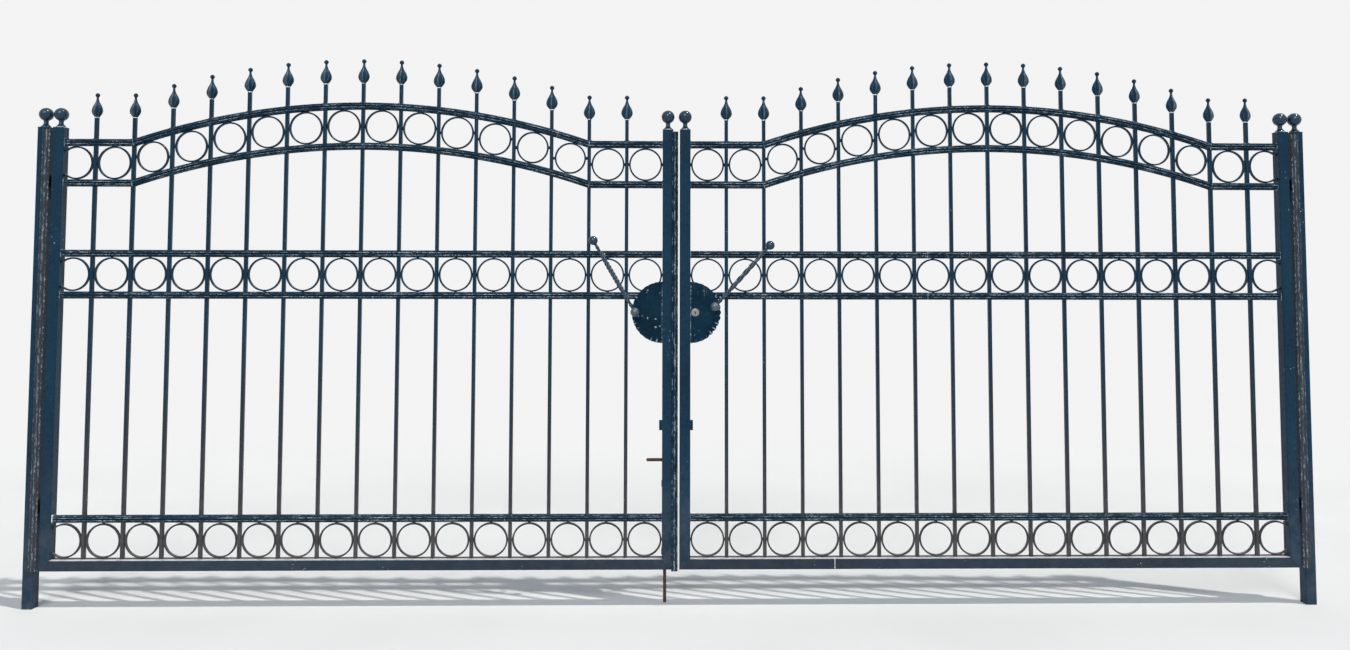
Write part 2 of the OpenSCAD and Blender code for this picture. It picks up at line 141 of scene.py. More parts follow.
# Handles, each with its start's way from the stile and height, and its tilt in degrees
HANDLES = {"left": (0.101, 1.083, 59.5), "right": (0.089, 1.103, 48.0)}
HANDLE_Y = -0.045
HANDLE_LEN = 0.306
KNOB_R = 0.017
GRIP_START = 0.048
GRIP_TURNS = {"left": 3.5, "right": 1.5}
BACK = np.array([0, 1.0, 0])
# Hinges
PIN_X = LEAF_W + 0.008
PIN_Y = TUBE + 0.018
PIN_R = 0.006
HINGES = (0.290, 1.500)
BARREL_L = 0.045
BARREL_R = 0.011
HINGE_PLAY = 0.0003
HINGE_STEP = 0.008
# Drop bolt: its middle, its top, its bend and its arm, and the undersides of its guides
ROD = (0.029, TUBE + 0.016)
ROD_R = 0.006
ROD_TOP = 0.526
ROD_BEND = 0.016
ROD_ARM = 0.070
GUIDES = (0.180, 0.430)
GUIDE_H = 0.018
GUIDE_HALF = 0.013
# Both edges of a post's cover strip
POST_STRIP = (LEAF_W + 0.006, LEAF_W + 0.037)
# Splices: way from the meeting face and rail of those on the rails, and the bottom rail's
SPLICES = {"left": [(0.436, UPPER_ARCH)], "right": [(0.933, low) for low in MID_RAILS]}
SILL_SPLICE = 0.575
# Relief, from 0 in a hollow to 1 on a crest, of plain shapes and of welds
PLAIN = 0.5
WELD = 0.7


def seeded(side, first, left_step):
    """Seed of a piece's chance values, another one on the left leaf."""
    return first + (left_step if side == "left" else 0)


def to_row(side, points):
    """Carries leaf places to the frame: x out from the gap's middle, y back by half a tube."""
    out = np.array(points, float)
    out[..., X] = GATE_MID + SIDES[side] * (HALF_GAP + out[..., X])
    out[..., Y] = out[..., Y] - TUBE / 2
    return out


def arched(x):
    """True between the two kinks of the arch."""
    return np.abs(np.asarray(x, float) - ARCH_MID) < HALF_CHORD - 0.001


def lift(x):
    """Rise of the arch over its level ends: a circle through both kinks and the crown."""
    d = np.clip(np.abs(np.asarray(x, float) - ARCH_MID), 0, HALF_CHORD)
    return np.sqrt(ARCH_R ** 2 - d ** 2) - ARCH_R + ARCH_RISE


def slope(x):
    """Fall of the arch at x in radians: the arc sine of the way from the crown over the radius."""
    d = np.asarray(x, float) - ARCH_MID
    return np.where(arched(x), np.arcsin(np.clip(d / ARCH_R, -1, 1)), 0.0)


def bar_places():
    """Middle of each bar and the height of its finial's seat."""
    x = FIRST_BAR + PITCH * np.arange(BARS)
    over = np.where(arched(x), SEAT_ARCH, SEAT_LEVEL)
    return x, UPPER_ARCH + RAIL_H + lift(x) + over


def full_turn(segments):
    """Angles of evenly spaced points round a circle."""
    return np.linspace(0, 2 * math.pi, segments, endpoint=False)


def xyz(x, y, z):
    """Points, or sizes, from three numbers or arrays spread over one another."""
    return np.stack(np.broadcast_arrays(x, y, z), -1)


def ramp(value, start, width):
    """0 up to a start and 1 past a width from there, and straight between."""
    return np.clip((value - start) / width, 0, 1)


# Meshes from whole arrays


def grid_faces(rows, cols, around=True, along=False):
    """Quads between the neighbours of a grid of points.

    around joins the last column to the first, and along the last row to the first.
    """
    r = np.arange(rows if along else rows - 1)[:, None]
    c = np.arange(cols if around else cols - 1)[None, :]
    r2, c2 = (r + 1) % rows, (c + 1) % cols
    corners = [r * cols + c, r * cols + c2, r2 * cols + c2, r2 * cols + c]
    return np.stack(np.broadcast_arrays(*corners), -1).reshape(-1, 4)


def end_fans(rows, cols):
    """Triangles from the first row to one added point and from the last row to another."""
    c = np.arange(cols)
    n = (c + 1) % cols
    last_row = (rows - 1) * cols
    first = np.stack([np.full(cols, rows * cols), n, c], -1)
    last = np.stack([np.full(cols, rows * cols + 1), last_row + c, last_row + n], -1)
    return np.concatenate([first, last])


def side_by_side(faces, count, step):
    """The same faces for copies whose points follow one another, step points a copy."""
    return (faces[None] + step * np.arange(count)[:, None, None]).reshape(-1, faces.shape[1])


class Surface:
    """Closed shapes gathered into one mesh, with two values at each point.

    relief is 1 on a crest and 0 in a hollow, and lay is the point's place on the unbent and
    unmirrored piece.
    """

    def __init__(self, side):
        self.points, self.relief, self.lay, self.quads, self.tris = [], [], [], [], []
        self.side, self.total = side, 0

    def put(self, points, quads, tris, relief=PLAIN, lay=None):
        """Adds a shape, turned outwards.

        Its volume is the sum of the signed tetrahedra from its middle to its triangles, and
        where that is negative every face is turned round.
        """
        points = np.asarray(points, float).reshape(-1, 3)
        middle = points - points.mean(0)
        fans = np.concatenate([quads[:, [0, 1, 2]], quads[:, [0, 2, 3]], tris])
        a, b, c = middle[fans[:, 0]], middle[fans[:, 1]], middle[fans[:, 2]]
        if np.einsum("ij,ij->i", a, np.cross(b, c)).sum() < 0:
            quads, tris = quads[:, ::-1], tris[:, ::-1]
        self.points.append(points)
        self.relief.append(np.broadcast_to(relief, len(points)).astype(float))
        self.lay.append(points if lay is None else np.asarray(lay, float).reshape(-1, 3))
        self.quads.append(quads + self.total)
        self.tris.append(tris + self.total)
        self.total += len(points)

    def loft(self, rings, ends=None, relief=PLAIN, lay=None):
        """Adds shapes carried through rows of points, each row a closed loop.

        rings is rows by columns, or copies by rows by columns. Fans close the ends to two
        points, the middles of the first and the last row if none are given.
        """
        rings = rings.reshape(-1, *rings.shape[-3:])
        count, rows, cols = rings.shape[:3]
        ends = rings[:, [0, -1]].mean(2) if ends is None else np.stack(ends, -2)
        points = np.append(rings.reshape(count, -1, 3), ends.reshape(count, 2, 3), 1)
        if np.ndim(relief):
            relief = np.append(relief.reshape(count, -1), np.full((count, 2), PLAIN), 1).ravel()
        if lay is None:
            lay = points
        else:
            lay = np.append(lay.reshape(-1, 3), lay[[0, -1]].mean(1), 0)
        step = rows * cols + 2
        quads = side_by_side(grid_faces(rows, cols), count, step)
        tris = side_by_side(end_fans(rows, cols), count, step)
        self.put(to_row(self.side, points), quads, tris, relief, lay)

    def hoops(self, rings):
        """Adds copies of a loop that closes on itself both ways, such as a ring."""
        count, rows, cols = rings.shape[:3]
        quads = side_by_side(grid_faces(rows, cols, True, True), count, rows * cols)
        points = rings.reshape(-1, 3)
        self.put(to_row(self.side, points), quads, np.zeros((0, 3), int), PLAIN, points)

    def mesh(self, name, sharp):
        """The gathered shapes as a mesh, smooth but for edges over sharp degrees."""
        mesh = bpy.data.meshes.new(name)
        points = np.concatenate(self.points).astype(np.float32)
        quads, tris = np.concatenate(self.quads), np.concatenate(self.tris)
        corners = np.concatenate([quads.ravel(), tris.ravel()]).astype(np.int32)
        starts = np.append(4 * np.arange(len(quads)), quads.size + 3 * np.arange(len(tris)))
        mesh.vertices.add(len(points))
        mesh.vertices.foreach_set("co", points.ravel())
        mesh.loops.add(len(corners))
        mesh.loops.foreach_set("vertex_index", corners)
        mesh.polygons.add(len(starts))
        mesh.polygons.foreach_set("loop_start", starts.astype(np.int32))
        mesh.update(calc_edges=True)
        mesh.polygons.foreach_set("use_smooth", np.ones(len(mesh.polygons), bool))
        mesh.set_sharp_from_angle(angle=math.radians(sharp))
        relief = mesh.attributes.new("relief", "FLOAT", "POINT").data
        relief.foreach_set("value", np.concatenate(self.relief).astype(np.float32))
        lay = mesh.attributes.new("lay", "FLOAT_VECTOR", "POINT").data
        lay.foreach_set("vector", np.concatenate(self.lay).astype(np.float32).ravel())
        return mesh

    def piece(self, name, body, nodes, slot, material, sharp=40):
        """Makes the object at the origin, riding on its body, in place of its CAD nodes."""
        mesh = self.mesh(name, sharp)
        mesh.materials.append(material)
        made = bpy.data.objects.new(name, mesh)
        bpy.context.scene.collection.objects.link(made)
        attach(made, body)
        if nodes:
            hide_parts(*nodes)

    def stand_in(self, node, ending, body, slot, material, sharp=40):
        """Makes the piece in place of one CAD node, named after it with an ending."""
        self.piece(f"{node}_{ending}", body, [node], slot, material, sharp)


# Shapes of stock and fittings


def rounded_outline(half_a, half_b, radius, steps=4, flat=0.0012):
    """Rounded rectangle: a quarter circle at each corner.

    A point a little way along each flat lets the flats shade flat.
    """
    turn = np.linspace(0, math.pi / 2, steps + 1)
    corner = np.stack([np.cos(turn), np.sin(turn)], -1) * radius
    corner = np.concatenate([[[radius, -flat]], corner, [[-flat, radius]]])
    out = []
    for quarter in range(4):
        c, s = round(math.cos(quarter * math.pi / 2)), round(math.sin(quarter * math.pi / 2))
        a, b = (half_a, half_b) if quarter % 2 == 0 else (half_b, half_a)
        p = corner + [a - radius, b - radius]
        out.append(np.stack([p[:, 0] * c - p[:, 1] * s, p[:, 0] * s + p[:, 1] * c], -1))
    return np.concatenate(out)


def block(surface, low, high, radius=0.0012):
    """Rounded box: rounded outlines stacked in z, drawn in at both ends by a quarter circle."""
    low, high = np.asarray(low, float), np.asarray(high, float)
    mid, half = (low + high) / 2, (high - low) / 2
    turn = np.linspace(0, math.pi / 2, 4)
    inset = radius * (1 - np.sin(turn))
    rise = radius * (1 - np.cos(turn))
    z = np.append(low[Z] + rise, high[Z] - rise[::-1])
    shrink = 1 - np.append(inset, inset[::-1])[:, None, None] / half[:2]
    edge = rounded_outline(half[X], half[Y], radius) * shrink + mid[:2]
    surface.loft(xyz(edge[..., X], edge[..., Y], z[:, None]))


def tube_run(side, axis, start, end, mid, lean=(0, 0)):
    """Square tube: a rounded outline carried along an axis from start to end.

    With a lean of 1 or -1 an end is mitred: the place along shifts with the other axis.
    """
    edge = rounded_outline(TUBE / 2, TUBE / 2, TUBE_CORNER)
    along = np.linspace(start, end, max(3, int((end - start) / 0.05)))
    rings = np.empty((len(along), len(edge), 3))
    other = [k for k in (X, Y, Z) if k != axis]
    rings[..., axis] = along[:, None]
    rings[..., other[0]] = mid[0] + edge[None, :, 0]
    rings[..., other[1]] = mid[1] + edge[None, :, 1]
    offset = edge[:, 0] if axis == Z else edge[:, 1]
    rings[0, :, axis] += lean[0] * offset
    rings[-1, :, axis] += lean[1] * offset
    made = Surface(side)
    made.loft(rings)
    return made


def swept(surface, line, radius, aside, segments):
    """Round rod: circles square to a line of points in one plane, with a radius at each.

    aside is the way across that plane.
    """
    way = np.gradient(line, axis=0)
    way /= np.linalg.norm(way, axis=1)[:, None]
    aside = np.broadcast_to(np.asarray(aside, float), line.shape)
    across = np.cross(way, aside)
    around = full_turn(segments)[None, :, None]
    circle = np.cos(around) * aside[:, None] + np.sin(around) * across[:, None]
    surface.loft(line[:, None] + radius[:, None, None] * circle)


def turned(surface, centre, radii, heights, segments=40, axis=Z):
    """Turned shape: circles of the given radii stacked along an axis and closed on it."""
    around = full_turn(segments)
    radii, heights = np.asarray(radii, float), np.asarray(heights, float)
    rings = np.empty((len(radii), segments, 3))
    u, v = [k for k in (X, Y, Z) if k != axis]
    rings[..., u] = centre[u] + radii[:, None] * np.cos(around)
    rings[..., v] = centre[v] + radii[:, None] * np.sin(around)
    rings[..., axis] = centre[axis] + heights[:, None]
    surface.loft(rings)


def lumps(surface, centres, sizes, seed):
    """Weld lumps: small spheres stretched to half sizes, each point moved a few percent."""
    rng = np.random.default_rng(seed)
    centres = np.asarray(centres, float).reshape(-1, 3)
    sizes = np.broadcast_to(np.asarray(sizes, float), centres.shape)
    up = np.linspace(0, math.pi, 7)[1:-1, None]
    around = full_turn(8)
    unit = xyz(np.sin(up) * np.cos(around), np.sin(up) * np.sin(around), np.cos(up))
    rough = 1 + 0.16 * (rng.random((len(centres), 5, 8, 1)) - 0.5)
    rings = centres[:, None, None] + unit[None] * rough * sizes[:, None, None]
    pole = np.array([0, 0, 1.0]) * sizes
    surface.loft(rings, (centres + pole, centres - pole), WELD)


def bead(surface, corners, radius, seed, loop=False, ripple=0.0028, relief=WELD):
    """Weld bead: a circle along a line of corners, swelling with each ripple and wandering."""
    rng = np.random.default_rng(seed)
    corners = np.asarray(corners, float)
    if loop:
        corners = np.concatenate([corners, corners[:1]])
    at = np.append(0, np.cumsum(np.linalg.norm(np.diff(corners, axis=0), axis=1)))
    s = np.linspace(0, at[-1], max(4, int(at[-1] / (ripple / 2.5))))
    line = np.stack([np.interp(s, at, corners[:, k]) for k in (X, Y, Z)], -1)
    way = np.gradient(line, axis=0)
    way /= np.linalg.norm(way, axis=1)[:, None] + 1e-12
    aside = np.cross(way, [0.31, 0.87, 0.38])
    aside /= np.linalg.norm(aside, axis=1)[:, None] + 1e-12
    across = np.cross(way, aside)
    wander = np.interp(s, np.linspace(0, at[-1], 9), rng.uniform(0.85, 1.15, 9))
    r = radius * wander * (0.78 + 0.22 * np.abs(np.sin(math.pi * s / ripple)))
    if not loop:
        r = r * np.clip(np.minimum(s, at[-1] - s) / radius, 0.25, 1)
    turn = full_turn(7)[None, :, None]
    circle = np.cos(turn) * aside[:, None] + np.sin(turn) * across[:, None]
    surface.loft(line[:, None] + circle * r[:, None, None], relief=relief)


# Embossed rails and strips


def dents(s, seed):
    """Depth of the hammer dents along an edge, 0 on a crest and up to 1 in a dent.

    A rounded sine half wave in each pitch, each with its own strength.
    """
    rng = np.random.default_rng(seed)
    cell = np.floor(s / HAMMER_PITCH).astype(int)
    strength = 1 - 0.45 * rng.random(cell.max() + 2)
    return strength[cell] * np.abs(np.sin(math.pi * s / HAMMER_PITCH)) ** 0.75


def patches(s, seed, spacing=0.055):
    """Wear along an edge, 0 to 1: a smooth curve through chance values set at a spacing."""
    rng = np.random.default_rng(seed)
    knots = rng.random(int(s[-1] / spacing) + 3) ** 0.8
    at = s / spacing
    k = np.floor(at).astype(int)
    share = (1 - np.cos(math.pi * (at - k))) / 2
    return knots[k] * (1 - share) + knots[k + 1] * share


# Stations round the section of a rail as (depth, height, edge), in metres; edge is 1 where the
# hammer dents reach fully. Two ribs run along each side between three grooves.
RIB_FACE = np.array([
    (-0.0112, -0.0121, 1.0), (-0.0125, -0.0104, 0.8), (-0.0107, -0.0078, 0.1),
    (-0.0129, -0.0054, 0.1), (-0.0130, -0.0038, 0.1), (-0.0105, -0.0016, 0.0),
    (-0.0105, 0.0016, 0.0), (-0.0130, 0.0038, 0.1), (-0.0129, 0.0054, 0.1),
    (-0.0107, 0.0078, 0.1), (-0.0125, 0.0104, 0.8), (-0.0112, 0.0121, 1.0),
])
RIB_TOP = np.array([
    (-0.0099, 0.0131, 1.0), (-0.0079, 0.0119, 0.2), (-0.0054, 0.0134, 0.1),
    (-0.0036, 0.0135, 0.1), (0.0, 0.0116, 0.0), (0.0036, 0.0135, 0.1),
    (0.0054, 0.0134, 0.1), (0.0079, 0.0119, 0.2), (0.0099, 0.0131, 1.0),
])
HALF_TURN = np.array([-1, -1, 1])
RAIL_SECTION = np.concatenate([RIB_FACE, RIB_TOP, RIB_FACE * HALF_TURN, RIB_TOP * HALF_TURN])
# Stations across a cover strip as (across, out, edge), across from -1 to 1.
STRIP_FACE = np.array([
    (-1.0, 0.0018, 1.0), (-0.90, 0.0036, 0.8), (-0.74, 0.0044, 0.5), (-0.52, 0.0026, 0.0),
    (-0.34, 0.0029, 0.0), (-0.17, 0.0048, 0.15), (-0.05, 0.0040, 0.0), (0.08, 0.0049, 0.15),
    (0.34, 0.0030, 0.0), (0.52, 0.0026, 0.0), (0.74, 0.0044, 0.5), (0.90, 0.0036, 0.8),
    (1.0, 0.0018, 1.0),
])


def embossed_rail(surface, line, seed):
    """Embossed rail: its section carried along a middle line.

    Near the edges each point is pressed towards the middle by the dents of its own edge.
    """
    middle, up, s = line
    depth, height, edge = RAIL_SECTION.T
    corner = (depth > 0) * 2 + (height > 0)
    phase = np.array([0.0, 0.31, 0.57, 0.78]) * HAMMER_PITCH

    def by_edge(curve):
        """A curve for each of the four edges, given to the stations that lie at that edge."""
        return np.stack([curve(k) for k in range(4)], -1)[:, corner]

    press = by_edge(lambda k: dents(s + phase[k], seed * 7 + k)) * edge
    rub = by_edge(lambda k: patches(s, seed * 11 + k))
    # spark: painted glints between the dents along the edges, raised into relief to take the glint
    # tone
    spark = by_edge(lambda k: np.clip(patches(s, seed * 13 + k, 0.018) / 0.45 - 1.22, 0, 1))
    y = depth - np.sign(depth) * press * np.where(edge > 0.5, 0.0030, 0.0010)
    z = height - np.sign(height) * press * np.where(edge > 0.5, 0.0021, 0.0002)
    at = middle[:, None] + up[:, None] * z[..., None]
    rings = xyz(at[..., 0], RAIL_Y + y, at[..., 1])
    # relief: low in the hollows, which the paint darkens with painted shade, and high on the crests,
    # which it paints rubbed and lit
    face = ramp(np.abs(depth), 0.0110, 0.0019)
    top = 0.6 * ramp(np.abs(height), 0.0115, 0.0019)
    crest = np.where(edge > 0.6, 0.75, np.maximum(face, top))
    relief = crest * (0.45 + 0.55 * rub) * (1 - 0.5 * press)
    relief = np.clip(relief + 0.45 * spark * (1 - press) ** 3 * (edge > 0.6), 0, 1)
    surface.loft(rings, relief=relief, lay=xyz(s[:, None], y, z + seed * 0.37))


RAIL_ENDS = (TUBE - 0.0005, LEAF_W - TUBE + 0.0005)


def level_line(z):
    """Middle line of a level rail from one stile into the other, its way up and its length."""
    x = np.linspace(*RAIL_ENDS, int((LEAF_W - 2 * TUBE) / RAIL_STEP))
    middle = np.stack([x, np.full_like(x, z)], -1)
    return middle, np.broadcast_to([0.0, 1.0], middle.shape), x - x[0]


def arched_line(z):
    """Middle line of an arched rail: level, round a circle between the kinks, level.

    The way up at a kink halves the bend and is longer by one over the cosine of half of it.
    """
    first, last = ARCH_MID - HALF_CHORD, ARCH_MID + HALF_CHORD
    level_steps = int(first / RAIL_STEP)
    a = np.linspace(RAIL_ENDS[0], first, level_steps)[:-1]
    turn = np.linspace(-KINK_ANGLE, KINK_ANGLE, int(2 * KINK_ANGLE * ARCH_R / RAIL_STEP))
    b = np.linspace(last, RAIL_ENDS[1], level_steps)[1:]
    x = np.concatenate([a, ARCH_MID + ARCH_R * np.sin(turn), b])
    angle = np.concatenate([0 * a, turn, 0 * b])
    stretch = np.ones_like(x)
    kinks = [len(a), len(a) + len(turn) - 1]
    angle[kinks] /= 2
    stretch[kinks] = 1 / math.cos(KINK_ANGLE / 2)
    middle = np.stack([x, z + lift(x)], -1)
    up = np.stack([np.sin(angle), np.cos(angle)], -1) * stretch[:, None]
    s = np.append(0, np.cumsum(np.linalg.norm(np.diff(middle, axis=0), axis=1)))
    return middle, up, s


def embossed_rails(side, lows, line_at, seed):
    """Embossed rails over their undersides, each along its own middle line."""
    made = Surface(side)
    for k, low in enumerate(lows):
        embossed_rail(made, line_at(low + RAIL_H / 2), seeded(side, seed + k, 20))
    return made


def embossed_strip(surface, low_x, high_x, z_span, seed):
    """Cover strip on the street face: its section carried up in z.

    The hammer dents thin its edges and draw them in.
    """
    z = np.linspace(*z_span, int((z_span[1] - z_span[0]) / STRIP_STEP))
    across, out, edge = STRIP_FACE.T
    mid, half = (low_x + high_x) / 2, (high_x - low_x) / 2

    def by_edge(first, second):
        """One curve on the left half of the strip and another on the right half."""
        return np.where(across < 0, first[:, None], second[:, None])

    press = by_edge(dents(z, seed), dents(z + 0.007, seed + 1)) * edge
    rub = by_edge(patches(z, seed + 2, 0.03), patches(z, seed + 3, 0.03))
    x = mid + half * across - np.sign(across) * press * 0.0021
    y = -out * (1 - 0.55 * press)
    back_x = np.broadcast_to(mid + (half - 0.0005) * np.array([1.0, 0.0, -1.0]), (len(z), 3))
    x, y = np.append(x, back_x, 1), np.append(y, 0 * back_x, 1)
    z = z[:, None]
    crest = ramp(out, 0.0024, 0.0022) * (1 - 0.5 * press) * (0.4 + 0.6 * rub)
    # Painted highlight: the edge at across -1 is raised to full relief between its dents
    crest = np.clip(crest + 1.1 * (1 - press) ** 2 * (rub > 0.35) * (across < -0.8), 0, 1)
    relief = np.append(crest, 0 * back_x, 1)
    surface.loft(xyz(x, y, z), relief=relief, lay=xyz(z, y, x - mid + seed * 0.37))


# Rings, bars, finials and balls


def flat_rings(centres, outer, turn):
    """Rings of flat stock: a rounded rectangle, thin and deep, at the angles of a turn."""
    edge = rounded_outline(RING_T / 2, RING_D / 2, 0.0016, steps=1, flat=0.0006)
    r = (outer[:, None, None] / 2 - RING_T / 2) + edge[:, 0]
    x, z = centres.T[..., None, None]
    turn = turn[:, None]
    return xyz(x + r * np.cos(turn), RAIL_Y + edge[:, 1], z + r * np.sin(turn))


def ring_row(surface, centres, outer):
    """A row of rings, the last one an arc whose ends die in the hinge stile."""
    surface.hoops(flat_rings(centres[:-1], outer[:-1], full_turn(52)))
    cut_x = LEAF_W - TUBE + 0.001
    gone = math.acos((cut_x - centres[-1, 0]) / (outer[-1] / 2 - RING_T / 2))
    arc = flat_rings(centres[-1:], outer[-1:], np.linspace(gone, 2 * math.pi - gone, 46))
    surface.loft(arc)


def ring_welds(surface, centres, outer, clear, tilt, seed):
    """Weld lumps in the gaps between a row of rings and its bars and rails.

    The last ring has one only, at its bar.
    """
    rng = np.random.default_rng(seed)
    x, z = centres.T
    out = outer / 2
    reach = ((PITCH - BAR) / 2 - out) / 2
    width = np.maximum(reach, 0.0016) + 0.0022
    gap = np.maximum((clear * np.cos(tilt) - outer) / 2, 0.0006)
    rims = [(x - out - reach, z, width, 0.0058)]
    rims.append(((x + out + reach)[:-1], z[:-1], width[:-1], 0.0058))
    for way in (-1, 1):
        px = x + way * np.sin(tilt) * (out + gap / 2)
        pz = z + way * np.cos(tilt) * (out + gap / 2)
        rims.append((px[:-1], pz[:-1], 0.0056, (gap / 2 + 0.0020)[:-1]))
    for px, pz, wide, high in rims:
        n = len(px)
        centre = xyz(px, RAIL_Y + rng.uniform(-0.001, 0.001, n), pz)
        size = xyz(wide, rng.uniform(0.0038, 0.0052, n), high * rng.uniform(0.9, 1.2, n))
        lumps(surface, centre, size, seed)


def rings_of_band(side, band):
    """One row of rings with its welds; on the arch they fill what its slope leaves."""
    low, clear = RING_BANDS[band]
    x = FIRST_BAR - PITCH / 2 + PITCH * np.arange(BARS + 1)
    rise, tilt = (lift(x), slope(x)) if band == "arch" else (0 * x, 0 * x)
    centres = np.stack([x, low + clear / 2 + rise], -1)
    outer = np.full_like(x, RING_OD)
    if band == "arch":
        outer = np.minimum(outer, (clear + RAIL_H) * np.cos(tilt) - RAIL_H - 0.0005)
    made = Surface(side)
    ring_row(made, centres, outer)
    seed = {"low": 11, "mid": 12, "arch": 13}[band]
    ring_welds(made, centres, outer, clear, tilt, seeded(side, seed, 50))
    return made


def square_bars(side):
    """Upright bars: a rounded square carried from the bottom rail up to each finial's seat."""
    x, seat = bar_places()
    foot = GROUND_GAP + TUBE
    share = np.linspace(0, 1, 12)
    edge = rounded_outline(BAR / 2, BAR / 2, 0.0010, steps=2, flat=0.0006)
    z = foot + (seat - foot)[:, None] * share
    made = Surface(side)
    made.loft(xyz(x[:, None, None] + edge[:, 0], RAIL_Y + edge[:, 1], z[..., None]))
    return made


# Outline of a bud finial as (height, radius), shares of its full height and radius.
BUD = np.array([
    (0, 0.37), (0.03, 0.40), (0.05, 0.45), (0.075, 0.56), (0.10, 0.67), (0.14, 0.80),
    (0.18, 0.90), (0.225, 0.97), (0.27, 1.0), (0.34, 0.97), (0.385, 0.915), (0.43, 0.84),
    (0.475, 0.755), (0.52, 0.65), (0.565, 0.53), (0.61, 0.42), (0.655, 0.33), (0.70, 0.265),
    (0.745, 0.215), (0.79, 0.18), (0.82, 0.19), (0.845, 0.28), (0.87, 0.385), (0.895, 0.40),
    (0.92, 0.395), (0.95, 0.33), (0.98, 0.20),
])


def finial_row(side):
    """Bud finials: an outline whose section is round at both ends.

    Along the bud it is a rounded square on its corner, which gives four ridges, with twisted
    grooves between them. Four ears stand round the tip knob.
    """
    x, seat = bar_places()
    h, r = BUD.T[..., None]
    around = full_turn(40)
    bud = ramp(h, 0.06, 0.06) * np.clip((0.80 - h) / 0.12, 0, 1)
    lobe = np.abs(np.cos(3 * (around + 1.25 * h)))
    power = 1.2
    square = (np.abs(np.cos(around)) ** power + np.abs(np.sin(around)) ** power) ** (-1 / power)
    ridge = np.cos(2 * around) ** 8
    groove = (1 + bud * (square - 1)) * (1 - 0.10 * bud * (1 - lobe ** 0.7) * (1 - ridge))
    knob = np.abs(h - 0.89) < 0.05
    ears = 1 - 0.28 * knob * (0.5 - 0.5 * np.cos(4 * around))
    radius = FINIAL_R * r * groove * ears
    out, back = radius * np.cos(around), radius * np.sin(around)
    rings = xyz(x[:, None, None] + out, RAIL_Y + back, seat[:, None, None] + FINIAL_H * h)
    crest = np.where(bud > 0.2, np.maximum(0.85 * lobe ** 3, ridge), 0.6)
    tip = xyz(x, RAIL_Y, seat + FINIAL_H)
    made = Surface(side)
    relief = np.broadcast_to(crest, rings.shape[:3])
    made.loft(rings, (tip - [0, 0, FINIAL_H], tip), relief)
    return made


# Neck of a ball as (height, flare), shares of the neck's height and of its flare.
NECK = np.array([
    (0, 1), (0.06, 0.99), (0.13, 0.88), (0.20, 0.70), (0.28, 0.50), (0.36, 0.30),
    (0.45, 0.14), (0.55, 0.05), (0.68, 0), (0.84, 0.05),
])


def ball_cap(surface, x):
    """Ball on a flared neck over a shallow cap plate, turned about the middle of a tube."""
    half = TUBE / 2
    plate_low, plate_high = (x - half, 0.0, STILE_TOP), (x + half, TUBE, STILE_TOP + CAP_T)
    block(surface, plate_low, plate_high, 0.0010)
    share, flare = NECK.T
    turn = np.linspace(math.asin(NECK_TOP_R / BALL_R), math.pi - 0.06, 24)
    radii = np.append(NECK_R + NECK_FLARE * flare, BALL_R * np.sin(turn))
    heights = np.append(CAP_T + NECK_H * share, BALL_MID - BALL_R * np.cos(turn))
    turned(surface, (x, half, STILE_TOP), radii, heights, 48)


def ball_caps(side):
    """Ball caps on both stiles of a leaf."""
    made = Surface(side)
    for x in STILE_MIDDLES:
        ball_cap(made, x)
    return made


def post_caps():
    """Ball caps on both posts."""
    made = Surface("left")
    for side in SIDES:
        made.side = side
        ball_cap(made, POST_X)
    return made


# Lock, handles, hinges and bolt


def lock_plate(side):
    """Half disc: its section turned through half a circle beside the meeting stile.

    Radial hammer marks draw in the rim and dent the face, each with its own blow, and along
    some lies a painted highlight.
    """
    marks = 16
    share = np.array([0.004, 0.2, 0.4, 0.6, 0.72, 0.78, 0.83,
                      0.87, 0.90, 0.93, 0.955, 0.975, 0.99, 1.0])
    back_share = np.array([0.995, 0.9, 0.6, 0.3, 0.004])
    a = np.linspace(-math.pi / 2, math.pi / 2, 301)[:, None]
    wave = np.abs(np.cos(marks * (a + math.pi / 2)))
    mark = wave ** 0.6
    rng = np.random.default_rng(5 if side == "left" else 6)
    nearest = np.round(marks * (a + math.pi / 2) / math.pi).astype(int)
    blow = rng.uniform(0.45, 1.25, marks + 2)[nearest]
    deep = np.full_like(a, 0.30)
    if side == "right":
        notched = np.clip((a + 1.10) / 0.25, 0, 1) * np.clip((0.62 - a) / 0.25, 0, 1)
        deep += 0.95 * notched * blow
    front = ramp(share, 0.80, 0.20)[None] ** 1.3
    uneven = np.interp(a[:, 0], np.linspace(-1.6, 1.6, 40), rng.uniform(-1, 1, 40))[:, None]
    y = -PLATE_T + 0.0024 * deep * front * (1 - mark) + 0.0004 * front
    y = np.maximum(y + 0.00035 * uneven * (share > 0.1), -PLATE_T)
    back = np.zeros((len(a), len(back_share)))
    rim = PLATE_R * (1 - 0.036 * deep * (1 - wave))
    r = rim * np.append(share, back_share)
    y = np.append(y, back, 1)
    rings = xyz(TUBE + r * np.cos(a), PLATE_Y + y, LOCK_Z + r * np.sin(a))
    struck = np.clip((-0.1 - a) / 0.2, 0, 1) * ramp(blow, 0.60, 0.35)
    # Painted highlight along the edge of some hammer marks
    glint_line = wave ** 12 * struck * ramp(share, 0.79, 0.10)
    crest = 0.35 + 0.30 * front * mark + 0.70 * glint_line
    made = Surface(side)
    made.loft(rings, relief=np.append(crest, back, 1))
    return made


def handle_frame(side):
    """Start of a pull handle, its way along and one way across; the other is BACK."""
    x, z, tilt = HANDLES[side]
    c, s = math.cos(math.radians(tilt)), math.sin(math.radians(tilt))
    return np.array([TUBE + x, HANDLE_Y, z]), np.array([c, 0, s]), np.array([-s, 0, c])


def leg_places(side):
    """Where the two legs of a handle stand: where its line crosses the middle rails."""
    x, z, tilt = HANDLES[side]
    levels = [low + RAIL_H / 2 for low in MID_RAILS]
    return [(TUBE + x + (level - z) / math.tan(math.radians(tilt)), level) for level in levels]


